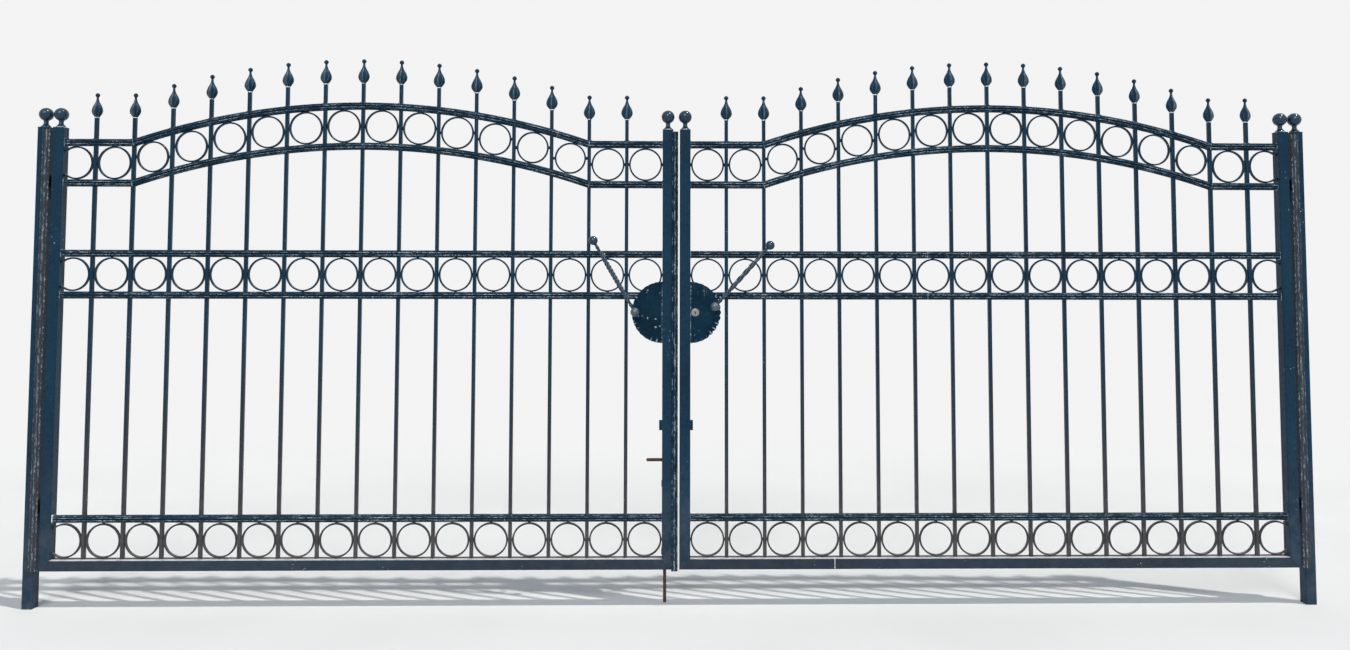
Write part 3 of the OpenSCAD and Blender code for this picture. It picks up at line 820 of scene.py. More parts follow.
def twisted_grip(surface):
    """Rod of a handle: a square with rounded corners, carried along and turned.

    It swells at the grip and at the collars, and is round from each collar to its ball.
    """
    start, way, across = handle_frame(surface.side)
    s = np.linspace(0.010, HANDLE_LEN - 0.010, 300)
    end = np.minimum(s, HANDLE_LEN - s)
    grip = ramp(end, GRIP_START, 0.055)
    collar = np.exp(-((end - 0.030) / 0.0036) ** 4)
    half = (0.0058 + 0.0026 * grip ** 1.2 + 0.0018 * collar)[:, None]
    twist = np.clip((s - GRIP_START) / (HANDLE_LEN - 2 * GRIP_START), 0, 1)
    turn = (2 * math.pi * GRIP_TURNS[surface.side] * twist)[:, None]
    edge = rounded_outline(0.90, 0.90, 0.40, flat=0.12)
    angle = np.arctan2(edge[:, 1], edge[:, 0])
    square = ramp(end, 0.038, 0.012)[:, None]
    length = square * np.linalg.norm(edge, axis=1) + (1 - square) * 0.98
    a, b = half * length * np.cos(angle + turn), half * length * np.sin(angle + turn)
    rings = start + s[:, None, None] * way + a[..., None] * across + b[..., None] * BACK
    surface.loft(rings, relief=ramp(length, 0.95, 0.14))


# Leg of a handle as (way back, radius), in metres.
LEG = np.array([
    (0.0, 0.0092), (-0.0015, 0.0088), (-0.004, 0.0070), (-0.008, 0.0061),
    (-0.030, 0.0058), (-0.044, 0.0058), (-0.048, 0.0062),
])


def pull_handle(side):
    """Twisted handle between two balls, the lower one rubbed bare, on two legs."""
    made = Surface(side)
    twisted_grip(made)
    start, way, across = handle_frame(side)
    pole = np.linspace(0.12, math.pi - 0.12, 20)[:, None, None]
    around = full_turn(40)[:, None]
    out = np.cos(around) * across + np.sin(around) * BACK
    ball = KNOB_R * (np.sin(pole) * out + np.cos(pole) * way)
    for place, relief in ((start, 1.2), (start + HANDLE_LEN * way, 0.55)):
        made.loft(place + ball, (place + KNOB_R * way, place - KNOB_R * way), relief)
    back, radius = LEG.T
    for x, level in leg_places(side):
        turned(made, (x, PLATE_Y, level), radius, back, 24, Y)
    return made


def hinge_half(surface, low, step):
    """Half of a hinge: a sleeve with chamfered ends, and a block with three beads.

    step is the way from the pin to the block, towards the post or into the leaf.
    """
    high, chamfer = low + BARREL_L, 0.0012
    radii = [BARREL_R - chamfer, BARREL_R, BARREL_R, BARREL_R - chamfer]
    heights = [0.0, chamfer, BARREL_L - chamfer, BARREL_L]
    turned(surface, (PIN_X, PIN_Y, low), radii, heights, 36)
    near, far = sorted((PIN_X + step, PIN_X + step * 3.75))
    block(surface, (near, TUBE, low), (far, PIN_Y + 0.006, high))
    y = TUBE + 0.001
    for z in (low, high):
        bead(surface, [(near + 0.002, y, z), (far - 0.002, y, z)], 0.0021, int(z * 1000))
    x = far if step > 0 else near
    bead(surface, [(x, y, low + 0.002), (x, y, high - 0.002)], 0.0021, 5)


def hinge_barrels(side):
    """Upper halves of a leaf's hinges, each over its lower half."""
    made = Surface(side)
    for low in HINGES:
        hinge_half(made, low + BARREL_L + HINGE_PLAY, -HINGE_STEP)
    return made


def hinge_pins(side):
    """Lower halves of a post's hinges with their pins, whose domed ends stand out on top."""
    made = Surface(side)
    heights = [BARREL_L - 0.001, 2 * BARREL_L - 0.0008, 2 * BARREL_L]
    for low in HINGES:
        hinge_half(made, low, HINGE_STEP)
        turned(made, (PIN_X, PIN_Y, low), [PIN_R, PIN_R, 0.8 * PIN_R], heights, 28)
    return made


# Outline of the lock's rose and cylinder as (radius, way out), in millimetres.
CYLINDER = np.array([
    (4.0, -32.0), (8.0, -32.0), (9.0, -31.0), (9.0, -2.0), (9.0, 0.0), (14.4, 0.0),
    (14.8, 0.4), (14.8, 3.6), (14.4, 4.5), (13.4, 5.0), (13.0, 5.0), (11.0, 5.0),
    (9.7, 5.0), (9.4, 4.6), (8.9, 4.8), (8.9, 7.4), (8.5, 7.9), (8.0, 8.0),
    (7.2, 8.0), (6.9, 7.4), (6.6, 7.4), (6.2, 7.9),
])
# Key slot as (share of its outline, way out in millimetres, painted shade).
KEY_SLOT = np.array([(1.12, 7.9, 0.0), (1.0, 7.5, 0.6), (0.98, 0.0, 1.0), (0.96, -6.0, 1.0)])


def key_cylinder():
    """Rose and cylinder of the lock, turned about the key's way.

    On the front face the circle passes over into the key slot, which runs in to its end.
    """
    around = full_turn(64) + math.pi / 64
    radius, out = CYLINDER.T
    share, slot_out, slot_shade = KEY_SLOT.T
    half_width = 0.0022 / np.maximum(np.abs(np.cos(around)), 1e-6)
    half_height = 0.0054 / np.maximum(np.abs(np.sin(around)), 1e-6)
    slot = np.minimum(half_width, half_height) * share[:, None]
    radii = np.append(0.001 * radius[:, None] + 0 * around, slot, 0)
    out = 0.001 * np.append(out, slot_out)[:, None]
    drop = np.append(0 * radius, np.full(len(share), 0.002))[:, None]
    # dark: painted shade down the key slot
    dark = np.append(0 * radius, slot_shade)[:, None]
    x = TUBE + KEY_IN + radii * np.cos(around)
    rings = xyz(x, PLATE_Y - PLATE_T - out, LOCK_Z - drop + radii * np.sin(around))
    made = Surface("right")
    made.loft(rings, relief=np.broadcast_to(dark, radii.shape))
    return made


def lock_case():
    """Lock case behind the right plate, with the heads of its two screws."""
    made = Surface("right")
    block(made, *leaf_box("right", "right_lock_case"), 0.0015)
    for z in CASE_SCREWS:
        centre = (TUBE + 0.036, PLATE_Y + RAIL_D, z)
        heights = [-0.001, 0.0008, 0.0020, 0.0024]
        turned(made, centre, [0.0042, 0.0044, 0.0036, 0.0020], heights, 20, Y)
    return made


def drop_bolt():
    """Drop bolt: a straight rod, a quarter circle, and a short arm with a rounded end."""
    x, y = ROD
    bend = ROD_TOP - ROD_BEND
    turn = np.linspace(0, math.pi / 2, 10)[1:]
    foot = np.array([0.0002, 0.0008, 0.0022, 0.0040])
    shaft = np.append(foot, np.linspace(0.010, bend, 26))
    arm = np.linspace(x + ROD_BEND, x + ROD_ARM - ROD_R, 8)[1:]
    arm = np.append(arm, x + ROD_ARM - np.array([0.0036, 0.0016, 0.0004]))
    px = np.concatenate([np.full_like(shaft, x), x + ROD_BEND * (1 - np.cos(turn)), arm])
    pz = np.concatenate([shaft, bend + ROD_BEND * np.sin(turn), np.full_like(arm, ROD_TOP)])
    radius = np.full(len(px), ROD_R)
    radius[:4] *= [0.45, 0.72, 0.93, 1.0]
    radius[-3:] *= [0.93, 0.75, 0.42]
    made = Surface("left")
    swept(made, xyz(px, y, pz), radius, BACK, 22)
    return made


def bolt_guides():
    """Guides of the drop bolt: blocks welded to the back of the left meeting stile."""
    made = Surface("left")
    for low in GUIDES:
        high = low + GUIDE_H
        low_corner = (ROD[X] - GUIDE_HALF, TUBE, low)
        block(made, low_corner, (ROD[X] + GUIDE_HALF, ROD[Y] + GUIDE_HALF, high), 0.0014)
        for z in (low, high):
            ends = [(ROD[X] + way * (GUIDE_HALF - 0.001), TUBE + 0.001, z) for way in (-1, 1)]
            bead(made, ends, 0.002, 71)
    return made


def catch_plate(side):
    """Small plate behind the meeting stile that shows beside it."""
    made = Surface(side)
    block(made, *leaf_box(side, f"{side}_catch"), 0.001)
    return made


# Welds


def rail_end_welds(surface, seed):
    """Seams round both ends of the rails."""
    half_d, half_h = RAIL_D / 2, RAIL_H / 2
    corners = ((-1, -1), (-1, 1), (1, 1), (1, -1))
    for k, low in enumerate((LOW_RAIL, *MID_RAILS, *ARCH_RAILS)):
        for x in (TUBE + 0.0006, LEAF_W - TUBE - 0.0006):
            loop = [(x, RAIL_Y + a * half_d, low + half_h + b * half_h) for a, b in corners]
            bead(surface, loop, 0.0016, seed + k, loop=True)


def mitre_welds(surface, seed):
    """Seams down the mitres of the lower corners, in front and behind."""
    for y in (0.0, TUBE):
        for inner, outer in ((TUBE, 0.0), (LEAF_W - TUBE, LEAF_W)):
            ends = [(inner, y, GROUND_GAP + TUBE), (outer, y, GROUND_GAP)]
            bead(surface, ends, 0.0010, seed, relief=0.1)


def upright_seam(surface, x, y, middle, tilt, reach, radius, seed):
    """Seam through a middle height, leaning from upright by a tilt, reach to either side."""
    lean, rise = reach * math.sin(tilt), reach * math.cos(tilt)
    ends = [(x - lean, y, middle - rise), (x + lean, y, middle + rise)]
    bead(surface, ends, radius, seed)


def kink_welds(surface, seed):
    """Seams down both faces of the arched rails at their kinks."""
    bend = KINK_ANGLE / 2
    deep = RAIL_D / 2 - 0.0008
    for low in ARCH_RAILS:
        for way in (-1, 1):
            x, middle = ARCH_MID + way * HALF_CHORD, low + RAIL_H / 2
            for y in (RAIL_Y - deep, RAIL_Y + deep):
                reach = RAIL_H / 2 / math.cos(bend)
                upright_seam(surface, x, y, middle, way * bend, reach, 0.0012, seed)


def splice_welds(surface, seed):
    """Seams down the street face where a rail is joined from two lengths."""
    for x, low in SPLICES[surface.side]:
        middle, tilt = low + RAIL_H / 2, 0.0
        if low in ARCH_RAILS:
            middle, tilt = middle + float(lift(x)), float(slope(x))
        upright_seam(surface, x, PLATE_Y, middle, tilt, RAIL_H / 2, 0.0015, seed)


def bar_welds(surface, seed):
    """Lumps at both sides of each bar where it stands in the top rail."""
    x = bar_places()[0]
    top = UPPER_ARCH + RAIL_H + lift(x)
    fall = np.tan(slope(x)) * BAR / 2
    for way in (-1, 1):
        place = xyz(x + way * (BAR / 2 + 0.001), RAIL_Y - 0.003, top - way * fall)
        lumps(surface, place, (0.0042, 0.0060, 0.0026), seed + way)


def plate_welds(surface, seed):
    """Lumps where the plate's rim crosses the lower middle rail and at the handle's legs."""
    rng = np.random.default_rng(seed)
    level = MID_RAILS[0] + RAIL_H / 2
    reach = math.sqrt(PLATE_R ** 2 - (level - LOCK_Z) ** 2)
    spots = [(TUBE + reach, PLATE_Y - 0.0015, level - 0.003)]
    spots += [(x - 0.009, PLATE_Y - 0.001, height - 0.003) for x, height in leg_places(surface.side)]
    for spot in spots:
        place = spot + rng.uniform(-1, 1, (4, 3)) * [0.0035, 0.0006, 0.0045]
        size = rng.uniform(0.6, 1.1, (4, 1)) * [0.0034, 0.0026, 0.0040]
        lumps(surface, place, size, seed + 2)


def weld_seams(side):
    """Weld of one leaf under thin paint."""
    made = Surface(side)
    seed = seeded(side, 100, 200)
    rail_end_welds(made, seed)
    mitre_welds(made, seed + 11)
    kink_welds(made, seed + 21)
    splice_welds(made, seed + 31)
    bar_welds(made, seed + 41)
    plate_welds(made, seed + 51)
    x, y, reach = TUBE + 0.0010, PLATE_Y - PLATE_T, PLATE_R - 0.005
    upright_seam(made, x, y, LOCK_Z, 0, reach, 0.0014, seed + 61)
    return made


def round_bead(surface, x, z, reach, points, radius, seed, ripple=0.0028):
    """Bead round an upright foot in the middle of a tube or bar."""
    turn = full_turn(points)
    loop = xyz(x + reach * np.cos(turn), RAIL_Y + reach * np.sin(turn), z)
    bead(surface, loop, radius, seed, loop=True, ripple=ripple)


def bare_welds(side):
    """Weld of one leaf that shows bare: under the finials and round the balls' feet.

    On the left leaf also up the low rail's hinge end, on the right one under it and down the
    splice of the bottom rail.
    """
    made = Surface(side)
    seed = seeded(side, 500, 200)
    for x, z in zip(*bar_places()):
        round_bead(made, x, z + 0.0016, 0.0064, 12, 0.0030, seed + int(x * 100), 0.0040)
    for x in STILE_MIDDLES:
        round_bead(made, x, STILE_TOP + CAP_T + 0.0002, 0.0182, 30, 0.0011, seed + 3)
    if side == "left":
        x, top = LEAF_W - TUBE - 0.0012, LOW_RAIL + RAIL_H + 0.001
        seam = [(x, PLATE_Y, LOW_RAIL + 0.002), (x, PLATE_Y, top), (x, RAIL_Y - 0.004, top)]
        bead(made, seam, 0.0024, seed + 8)
    else:
        x, y, top = SILL_SPLICE, -0.0002, GROUND_GAP + TUBE
        seam = [(x, y, GROUND_GAP + 0.002), (x, y, top), (x, 0.014, top + 0.0002)]
        bead(made, seam, 0.0013, seed + 5)
        x, y = LEAF_W - TUBE - 0.012, RAIL_Y - 0.009
        bead(made, [(x - 0.018, y, LOW_RAIL), (x, y, LOW_RAIL - 0.001)], 0.0018, seed + 8)
    return made


# Materials


class Nodes:
    """A node tree, built one step at a time."""

    def __init__(self, tree):
        self.tree = tree

    def feed(self, socket, value):
        """Gives a socket another node's output, or a plain value."""
        if isinstance(value, bpy.types.NodeSocket):
            self.tree.links.new(value, socket)
        else:
            socket.default_value = value

    def node(self, kind, output, inputs=None, **settings):
        """Adds a node with its inputs and settings, and gives one of its outputs."""
        made = self.tree.nodes.new(kind)
        for key, value in settings.items():
            setattr(made, key, value)
        for key, value in (inputs or {}).items():
            self.feed(made.inputs[key], value)
        return made.outputs[output]

    def chain(self, operation, total, *values):
        """One operation on several values, from the first to the last."""
        for value in values:
            inputs = {0: total, 1: value}
            total = self.node("ShaderNodeMath", "Value", inputs, operation=operation)
        return total

    def times(self, *values):
        """Product of values."""
        return self.chain("MULTIPLY", *values)

    def plus(self, *values):
        """Sum of values."""
        return self.chain("ADD", *values)

    def seen(self):
        """1 for what the camera sees, also mirrored or through glass, and 0 for lighting."""
        kinds = ("Is Camera Ray", "Is Glossy Ray", "Is Transmission Ray")
        return self.chain("MAXIMUM", *[self.node("ShaderNodeLightPath", kind) for kind in kinds])

    def show(self, output, share, first, second):
        """Leads a mix of two shaders to the tree's output."""
        both = self.node("ShaderNodeMixShader", "Shader", {0: share, 1: first, 2: second})
        self.feed(self.tree.nodes[output].inputs["Surface"], both)


class Paint(Nodes):
    """A material over a piece's own places, its relief and its lay."""

    def __init__(self, name):
        self.material = bpy.data.materials.new(name)
        self.material.use_nodes = True
        super().__init__(self.material.node_tree)
        self.shader = self.tree.nodes["Principled BSDF"]
        self.place = self.node("ShaderNodeTexCoord", "Object")

    def attribute(self, name, output):
        """A value kept at each point of the mesh."""
        return self.node("ShaderNodeAttribute", output, attribute_name=name)

    def axis(self, vector, letter):
        """A vector's part along one axis."""
        return self.node("ShaderNodeSeparateXYZ", letter, {"Vector": vector})

    def upward(self):
        """How far the surface faces up, 1 where it is level."""
        return self.axis(self.node("ShaderNodeNewGeometry", "Normal"), "Z")

    def stretch(self, vector, scale):
        """Coordinates multiplied axis by axis."""
        return self.node("ShaderNodeMapping", "Vector", {"Vector": vector, "Scale": scale})

    def noise(self, vector, scale, detail=3.0, roughness=0.55, output="Fac"):
        """Clouds about 1 / scale wide."""
        inputs = {"Vector": vector, "Scale": scale, "Detail": detail, "Roughness": roughness}
        return self.node("ShaderNodeTexNoise", output, inputs)

    def cells(self, vector, scale, output="Distance", feature="F1"):
        """Chance cells about 1 / scale wide: the way to a cell's middle, or its own colour."""
        inputs = {"Vector": vector, "Scale": scale}
        return self.node("ShaderNodeTexVoronoi", output, inputs, feature=feature)

    def ragged(self, vector, scale, reach):
        """Coordinates pushed about by noise, so that what lies on them has a ragged edge."""
        kind = "ShaderNodeVectorMath"
        inputs = {0: self.noise(vector, scale, 2.0, 0.5, "Color"), 1: (0.5, 0.5, 0.5)}
        push = self.node(kind, "Vector", inputs, operation="SUBTRACT")
        inputs = {0: push, 1: (reach, reach, reach), 2: vector}
        return self.node(kind, "Vector", inputs, operation="MULTIPLY_ADD")

    def between(self, value, low, high, to_low=0.0, to_high=1.0):
        """Smooth step from to_low at low to to_high at high."""
        inputs = {"Value": value, "From Min": low, "From Max": high}
        inputs.update({"To Min": to_low, "To Max": to_high})
        kind = "ShaderNodeMapRange"
        return self.node(kind, "Result", inputs, interpolation_type="SMOOTHSTEP")

    def mix(self, share, a, b):
        """Colour that goes from a to b as the share goes from 0 to 1."""
        made = self.tree.nodes.new("ShaderNodeMix")
        made.data_type = "RGBA"
        sockets = {(socket.name, socket.type): socket for socket in made.inputs}
        self.feed(sockets["Factor", "VALUE"], share)
        for key, value in (("A", a), ("B", b)):
            value = (*value, 1.0) if isinstance(value, tuple) else value
            self.feed(sockets[key, "RGBA"], value)
        return next(socket for socket in made.outputs if socket.type == "RGBA")

    def cover(self, share, tone):
        """Lays a tone over the colour so far, by a share from 0 to 1."""
        self.colour = self.mix(share, self.colour, tone)

    def bump(self, height, distance, strength=1.0, normal=None):
        """Relief in the light, over an earlier one if there is one."""
        inputs = {"Height": height, "Distance": distance, "Strength": strength}
        if normal is not None:
            inputs["Normal"] = normal
        return self.node("ShaderNodeBump", "Normal", inputs)

    def finish(self, roughness, normal, **plain):
        """Gives the shader its inputs and returns the material."""
        plain.update(Base_Color=self.colour, Roughness=roughness, Normal=normal)
        for key, value in plain.items():
            self.feed(self.shader.inputs[key.replace("_", " ")], value)
        return self.material


# Paint from its deepest tone to a crest rubbed through, the painted shade, highlights and
# glints of embossing, and what lies on it
HOLLOW_SHADE = (0.0012, 0.0065, 0.0130)
DEEP = (0.0026, 0.0225, 0.0460)
PETROL = (0.0042, 0.0350, 0.0700)
PALE_PETROL = (0.045, 0.095, 0.135)
WORN_GRIP = (0.09, 0.125, 0.16)
RUBBED_AND_HIGHLIGHT = (0.090, 0.150, 0.195)
WORN_BUD = (0.11, 0.17, 0.21)
FACET_GLINT = (0.300, 0.385, 0.440)
GLINT = (0.44, 0.50, 0.54)
CHIP = (0.62, 0.66, 0.68)
BARE = (0.135, 0.150, 0.155)
DUST = (0.20, 0.18, 0.165)
PALE_STREET_EDGE = (0.56, 0.54, 0.55)
SLATE = (0.048, 0.049, 0.057)
UMBER = (0.048, 0.039, 0.040)
RUST = (0.12, 0.045, 0.020)
# Half discs
PLATE_DEEP = (0.0008, 0.0145, 0.0300)
PLATE_PETROL = (0.0022, 0.0250, 0.0480)
PLATE_RUBBED = (0.085, 0.150, 0.200)
PLATE_GLINT_LINE = (0.42, 0.48, 0.52)
PLATE_RUN = (0.16, 0.20, 0.23)
PLATE_SPECK = (0.40, 0.47, 0.52)
# Metals
THIN_PAINT_WELD = (0.38, 0.46, 0.52)
WHITE_WELD_AND_HIGHLIGHT = (0.80, 0.83, 0.85)
NICKEL = (0.335, 0.32, 0.30)
DULL_NICKEL = (0.215, 0.21, 0.20)
KEY_SLOT_SHADE = (0.012, 0.011, 0.010)
DARK_IRON = (0.030, 0.018, 0.014)
BROWN_RUST = (0.095, 0.042, 0.024)
LIGHT_RUST = (0.17, 0.085, 0.045)


def gate_paint(name, shine=0.34, crest_share=0.55, worn_tone=PALE_PETROL, dust=1.0,
               high_ledge=0.06, front_ledge=0.0, chips=1.0, brown=0.0, gloss=0.15, grain=0.25):
    """Dark petrol gate paint: cloudy, with brush marks and pale worn crests.

    Dust lies on ledges and towards the ground, with small pale chips and a few rust spots.
    """
    p = Paint(name)
    cloud = p.noise(p.place, 2.6, 4)
    mottle = p.noise(p.place, 55, 3)
    brush = p.noise(p.stretch(p.place, (220, 220, 14)), 1.0, 3)
    p.colour = p.mix(p.between(cloud, 0.30, 0.72), DEEP, PETROL)
    p.cover(p.times(p.between(mottle, 0.52, 0.80), 0.12), PALE_PETROL)
    height = p.axis(p.place, "Z")
    # Browner towards the ground: grime, with a painted reflection of the warm ground
    if brown:
        p.cover(p.times(p.between(height, 1.25, 0.15), brown), UMBER)
    relief = p.attribute("relief", "Fac")
    worn = p.times(p.between(relief, 0.62, 1.0), p.between(mottle, 0.30, 0.62, 0.25, 1.0))
    p.cover(p.times(worn, crest_share), worn_tone)
    bare = p.times(p.between(relief, 1.0, 1.6), p.between(mottle, 0.25, 0.6, 0.85, 1.0))
    p.cover(bare, BARE)
    upward = p.upward()
    ledge = p.times(p.between(upward, 0.55, 0.97), p.between(height, 1.2, 0.2, high_ledge, 0.85))
    splash = p.times(p.between(height, 0.70, 0.10), 0.20)
    patchy = p.between(p.noise(p.place, 23, 5, 0.65), 0.35, 0.70, 0.25, 1.0)
    settled = p.times(p.plus(ledge, splash), patchy)
    p.cover(p.times(settled, dust), DUST)
    # Paler along the street edge of faces that look up
    if front_ledge:
        street = p.between(p.axis(p.place, "Y"), 0.002, -0.010)
        patchy = p.between(mottle, 0.25, 0.6, 0.5, 1.0)
        pale = p.times(p.between(upward, 0.25, 0.8), street, patchy, front_ledge)
        p.cover(pale, PALE_STREET_EDGE)
    spots = p.between(p.cells(p.ragged(p.place, 420, 0.007), 82), 0.13, 0.09)
    chip = p.times(spots, p.between(p.noise(p.place, 6.5, 2), 0.57, 0.67), chips)
    p.cover(chip, CHIP)
    spots = p.between(p.noise(p.place, 17, 5, 0.7), 0.68, 0.76)
    p.cover(p.times(spots, p.between(height, 1.2, 0.1, 0.10, 0.70)), RUST)
    rough = p.between(mottle, 0.3, 0.8, shine - 0.06, shine + 0.14)
    normal = p.bump(brush, 0.0004, grain)
    normal = p.bump(p.noise(p.place, 320, 2), 0.0003, grain, normal)
    normal = p.bump(chip, 0.0004, 0.5, normal)
    rough = p.plus(rough, p.times(settled, 0.35))
    return p.finish(rough, normal, Specular_IOR_Level=gloss, Metallic=bare)


def embossed_paint(name, crest=0.36, dashes=0.42, chips=1.0, grime=0.0, glints=0.9):
    """Gate paint over rolled embossing: crests rubbed paler under a painted highlight, and
    painted shade in the hollows.

    Here and there a facet shows a painted glint, in short dashes along the piece.
    """
    p = Paint(name)
    lay = p.attribute("lay", "Vector")
    relief = p.attribute("relief", "Fac")
    cloud = p.noise(p.place, 3.1, 4)
    grain = p.noise(p.stretch(lay, (140, 420, 420)), 1.0, 3)
    p.colour = p.mix(p.between(cloud, 0.30, 0.72), DEEP, PETROL)
    # Painted shade: the hollows of the embossing are darkened
    p.cover(p.between(relief, 0.55, 0.05), HOLLOW_SHADE)
    if grime:
        p.cover(grime, SLATE)
    # Paler crests: rubbed wear, with a painted highlight on them
    rubbed = p.times(p.between(relief, 0.35, 0.90), p.between(grain, 0.40, 0.64, 0.15, 1.0))
    p.cover(p.times(rubbed, crest), RUBBED_AND_HIGHLIGHT)
    # Painted glints: some hammered facets are painted pale, in short dashes
    facets = p.cells(p.ragged(p.stretch(lay, (70, 260, 260)), 3.0, 0.8), 1.0, "Color")
    picked = p.between(p.axis(facets, "X"), 0.70, 0.86)
    patchy = p.between(grain, 0.36, 0.52, 0.3, 1.0)
    worn = p.times(picked, p.between(relief, 0.12, 0.55), patchy, dashes)
    p.cover(worn, FACET_GLINT)
    glint = p.times(p.between(relief, 0.66, 0.90), p.between(grain, 0.50, 0.60), glints)
    p.cover(glint, GLINT)
    ledge = p.times(p.between(p.upward(), 0.6, 0.97), 0.06)
    splash = p.times(p.between(p.axis(p.place, "Z"), 0.7, 0.05), 0.08)
    patchy = p.between(p.noise(p.place, 31, 5, 0.65), 0.35, 0.70, 0.2, 1.0)
    settled = p.times(p.plus(ledge, splash), patchy)
    p.cover(settled, DUST)
    spots = p.between(p.cells(p.ragged(lay, 500, 0.006), 120), 0.22, 0.15)
    place = p.times(p.between(relief, 0.5, 0.85), p.between(p.noise(p.place, 9, 2), 0.50, 0.62))
    p.cover(p.times(p.times(spots, place), chips), CHIP)
    rough = p.plus(p.between(relief, 0.2, 1.0, 0.60, 0.38), p.times(settled, 0.3))
    normal = p.bump(grain, 0.0008, 0.5)
    normal = p.bump(p.cells(lay, 190, "Distance", "SMOOTH_F1"), 0.0008, 0.35, normal)
    return p.finish(rough, normal, Specular_IOR_Level=0.11)


def hammered_paint(name, specks, runs):
    """Gate paint on a hand-hammered plate: shallow round dimples under it.

    Pale specks where it has chipped, and thin pale runs down the upper part.
    """
    p = Paint(name)
    relief = p.attribute("relief", "Fac")
    cloud = p.between(p.noise(p.place, 9, 4), 0.35, 0.7)
    p.colour = p.mix(cloud, PLATE_DEEP, PLATE_PETROL)
    p.cover(p.times(p.between(relief, 0.60, 0.95), 0.7), PLATE_RUBBED)
    # Painted highlight along the edges of some hammer marks
    p.cover(p.times(p.between(relief, 0.93, 1.15), 0.8), PLATE_GLINT_LINE)
    streak = p.between(p.noise(p.stretch(p.place, (260, 1, 9)), 1.0, 2), 0.60, 0.72)
    high = p.between(p.axis(p.place, "Z"), LOCK_Z + 0.035, LOCK_Z + 0.085)
    p.cover(p.times(streak, high, runs), PLATE_RUN)
    spots = p.ragged(p.place, 330, 0.009)
    picked = p.between(p.axis(p.cells(spots, 62, "Color"), "X"), 0.70, 0.82)
    chip = p.times(p.between(p.cells(spots, 62), 0.22, 0.14), picked, specks)
    p.cover(chip, PLATE_SPECK)
    rough = p.between(p.noise(p.place, 40, 3), 0.3, 0.7, 0.32, 0.52)
    normal = p.bump(p.cells(p.place, 75, "Distance", "SMOOTH_F1"), 0.0022, 0.6)
    normal = p.bump(p.noise(p.place, 260, 3), 0.0004, 0.35, normal)
    return p.finish(rough, normal, Specular_IOR_Level=0.08)


def weld_metal(name, bare_share, metal, patch=48):
    """Weld where the paint is thin or gone: pale grey metal and filler through patchy paint."""
    p = Paint(name)
    low, high = 0.62 - 0.4 * bare_share, 0.80 - 0.4 * bare_share
    patchy = p.between(p.noise(p.place, patch, 4, 0.7), low, high)
    bare = p.times(patchy, p.between(p.attribute("relief", "Fac"), 0.2, 0.6))
    p.colour = p.mix(bare, PETROL, metal)
    normal = p.bump(p.noise(p.place, 500, 3), 0.0006, 0.6)
    return p.finish(p.between(bare, 0, 1, 0.38, 0.55), normal)


def satin_nickel(name):
    """Dull brushed nickel: fine rings about the key's way, smudged, with painted shade in the slot.
    """
    p = Paint(name)
    centre = to_row("right", (TUBE + KEY_IN, 0.0, LOCK_Z))
    inputs = {"Vector": p.place, "Location": (-centre[X], 0, -centre[Z])}
    moved = p.node("ShaderNodeMapping", "Vector", inputs)
    inputs = {"Vector": moved, "Scale": 900.0, "Distortion": 0.6}
    rings = p.node("ShaderNodeTexWave", "Fac", inputs, wave_type="RINGS", rings_direction="Y")
    smudge = p.noise(p.place, 90, 4, 0.6)
    p.colour = p.mix(p.between(smudge, 0.35, 0.75), NICKEL, DULL_NICKEL)
    # Painted shade in the key slot
    p.cover(p.between(p.attribute("relief", "Fac"), 0.1, 0.7), KEY_SLOT_SHADE)
    normal = p.bump(rings, 0.0001, 0.3)
    return p.finish(p.between(smudge, 0.3, 0.8, 0.34, 0.55), normal, Metallic=0.55)


def rusty_iron(name):
    """Bare bolt iron: brown rust in two scales, lighter in spots, with scale that lifts."""
    p = Paint(name)
    coarse = p.noise(p.place, 40, 6, 0.7)
    fine = p.noise(p.place, 260, 5, 0.7)
    p.colour = p.mix(p.between(coarse, 0.35, 0.65), DARK_IRON, BROWN_RUST)
    p.cover(p.times(p.between(fine, 0.5, 0.8), 0.5), LIGHT_RUST)
    normal = p.bump(coarse, 0.0012, 0.6)
    normal = p.bump(fine, 0.0006, 0.6, normal)
    return p.finish(p.between(fine, 0.3, 0.7, 0.62, 0.9), normal, Metallic=0.15)


tube_paint = gate_paint("tube_paint", shine=0.30, crest_share=0.3)
sill_paint = gate_paint("sill_paint", dust=0.45, brown=0.30, front_ledge=1.0)
ball_paint = gate_paint("ball_paint", shine=0.16, chips=0.3, gloss=0.40, grain=0.02)
bar_paint = gate_paint("bar_paint", crest_share=0.5, dust=1.5, chips=0.6, brown=0.8)
ring_paint = gate_paint("ring_paint", crest_share=0.5, dust=1.2, high_ledge=0.50,
                        chips=0.5, brown=0.8)
bud_paint = gate_paint("bud_paint", shine=0.32, crest_share=1.0, worn_tone=WORN_BUD, chips=0.3)
fitting_paint = gate_paint("fitting_paint", shine=0.36, crest_share=0.4, chips=0.6)
grip_paint = gate_paint("grip_paint", shine=0.14, crest_share=0.9, worn_tone=WORN_GRIP,
                        dust=0.5, chips=0.4, gloss=0.48, grain=0.05)
rail_paint = embossed_paint("rail_paint")
strip_paint = embossed_paint("strip_paint", crest=0.6, dashes=0.60, chips=1.6, glints=1.0)
post_strip_paint = embossed_paint("post_strip_paint", crest=0.6, dashes=0.5, chips=1.6,
                                  grime=0.7, glints=0.7)
plate_paint = {
    "left": hammered_paint("left_plate_paint", 1.0, 0.1),
    "right": hammered_paint("right_plate_paint", 0.2, 0.9),
}
seam_metal = weld_metal("seam_metal", 0.50, THIN_PAINT_WELD, 130)
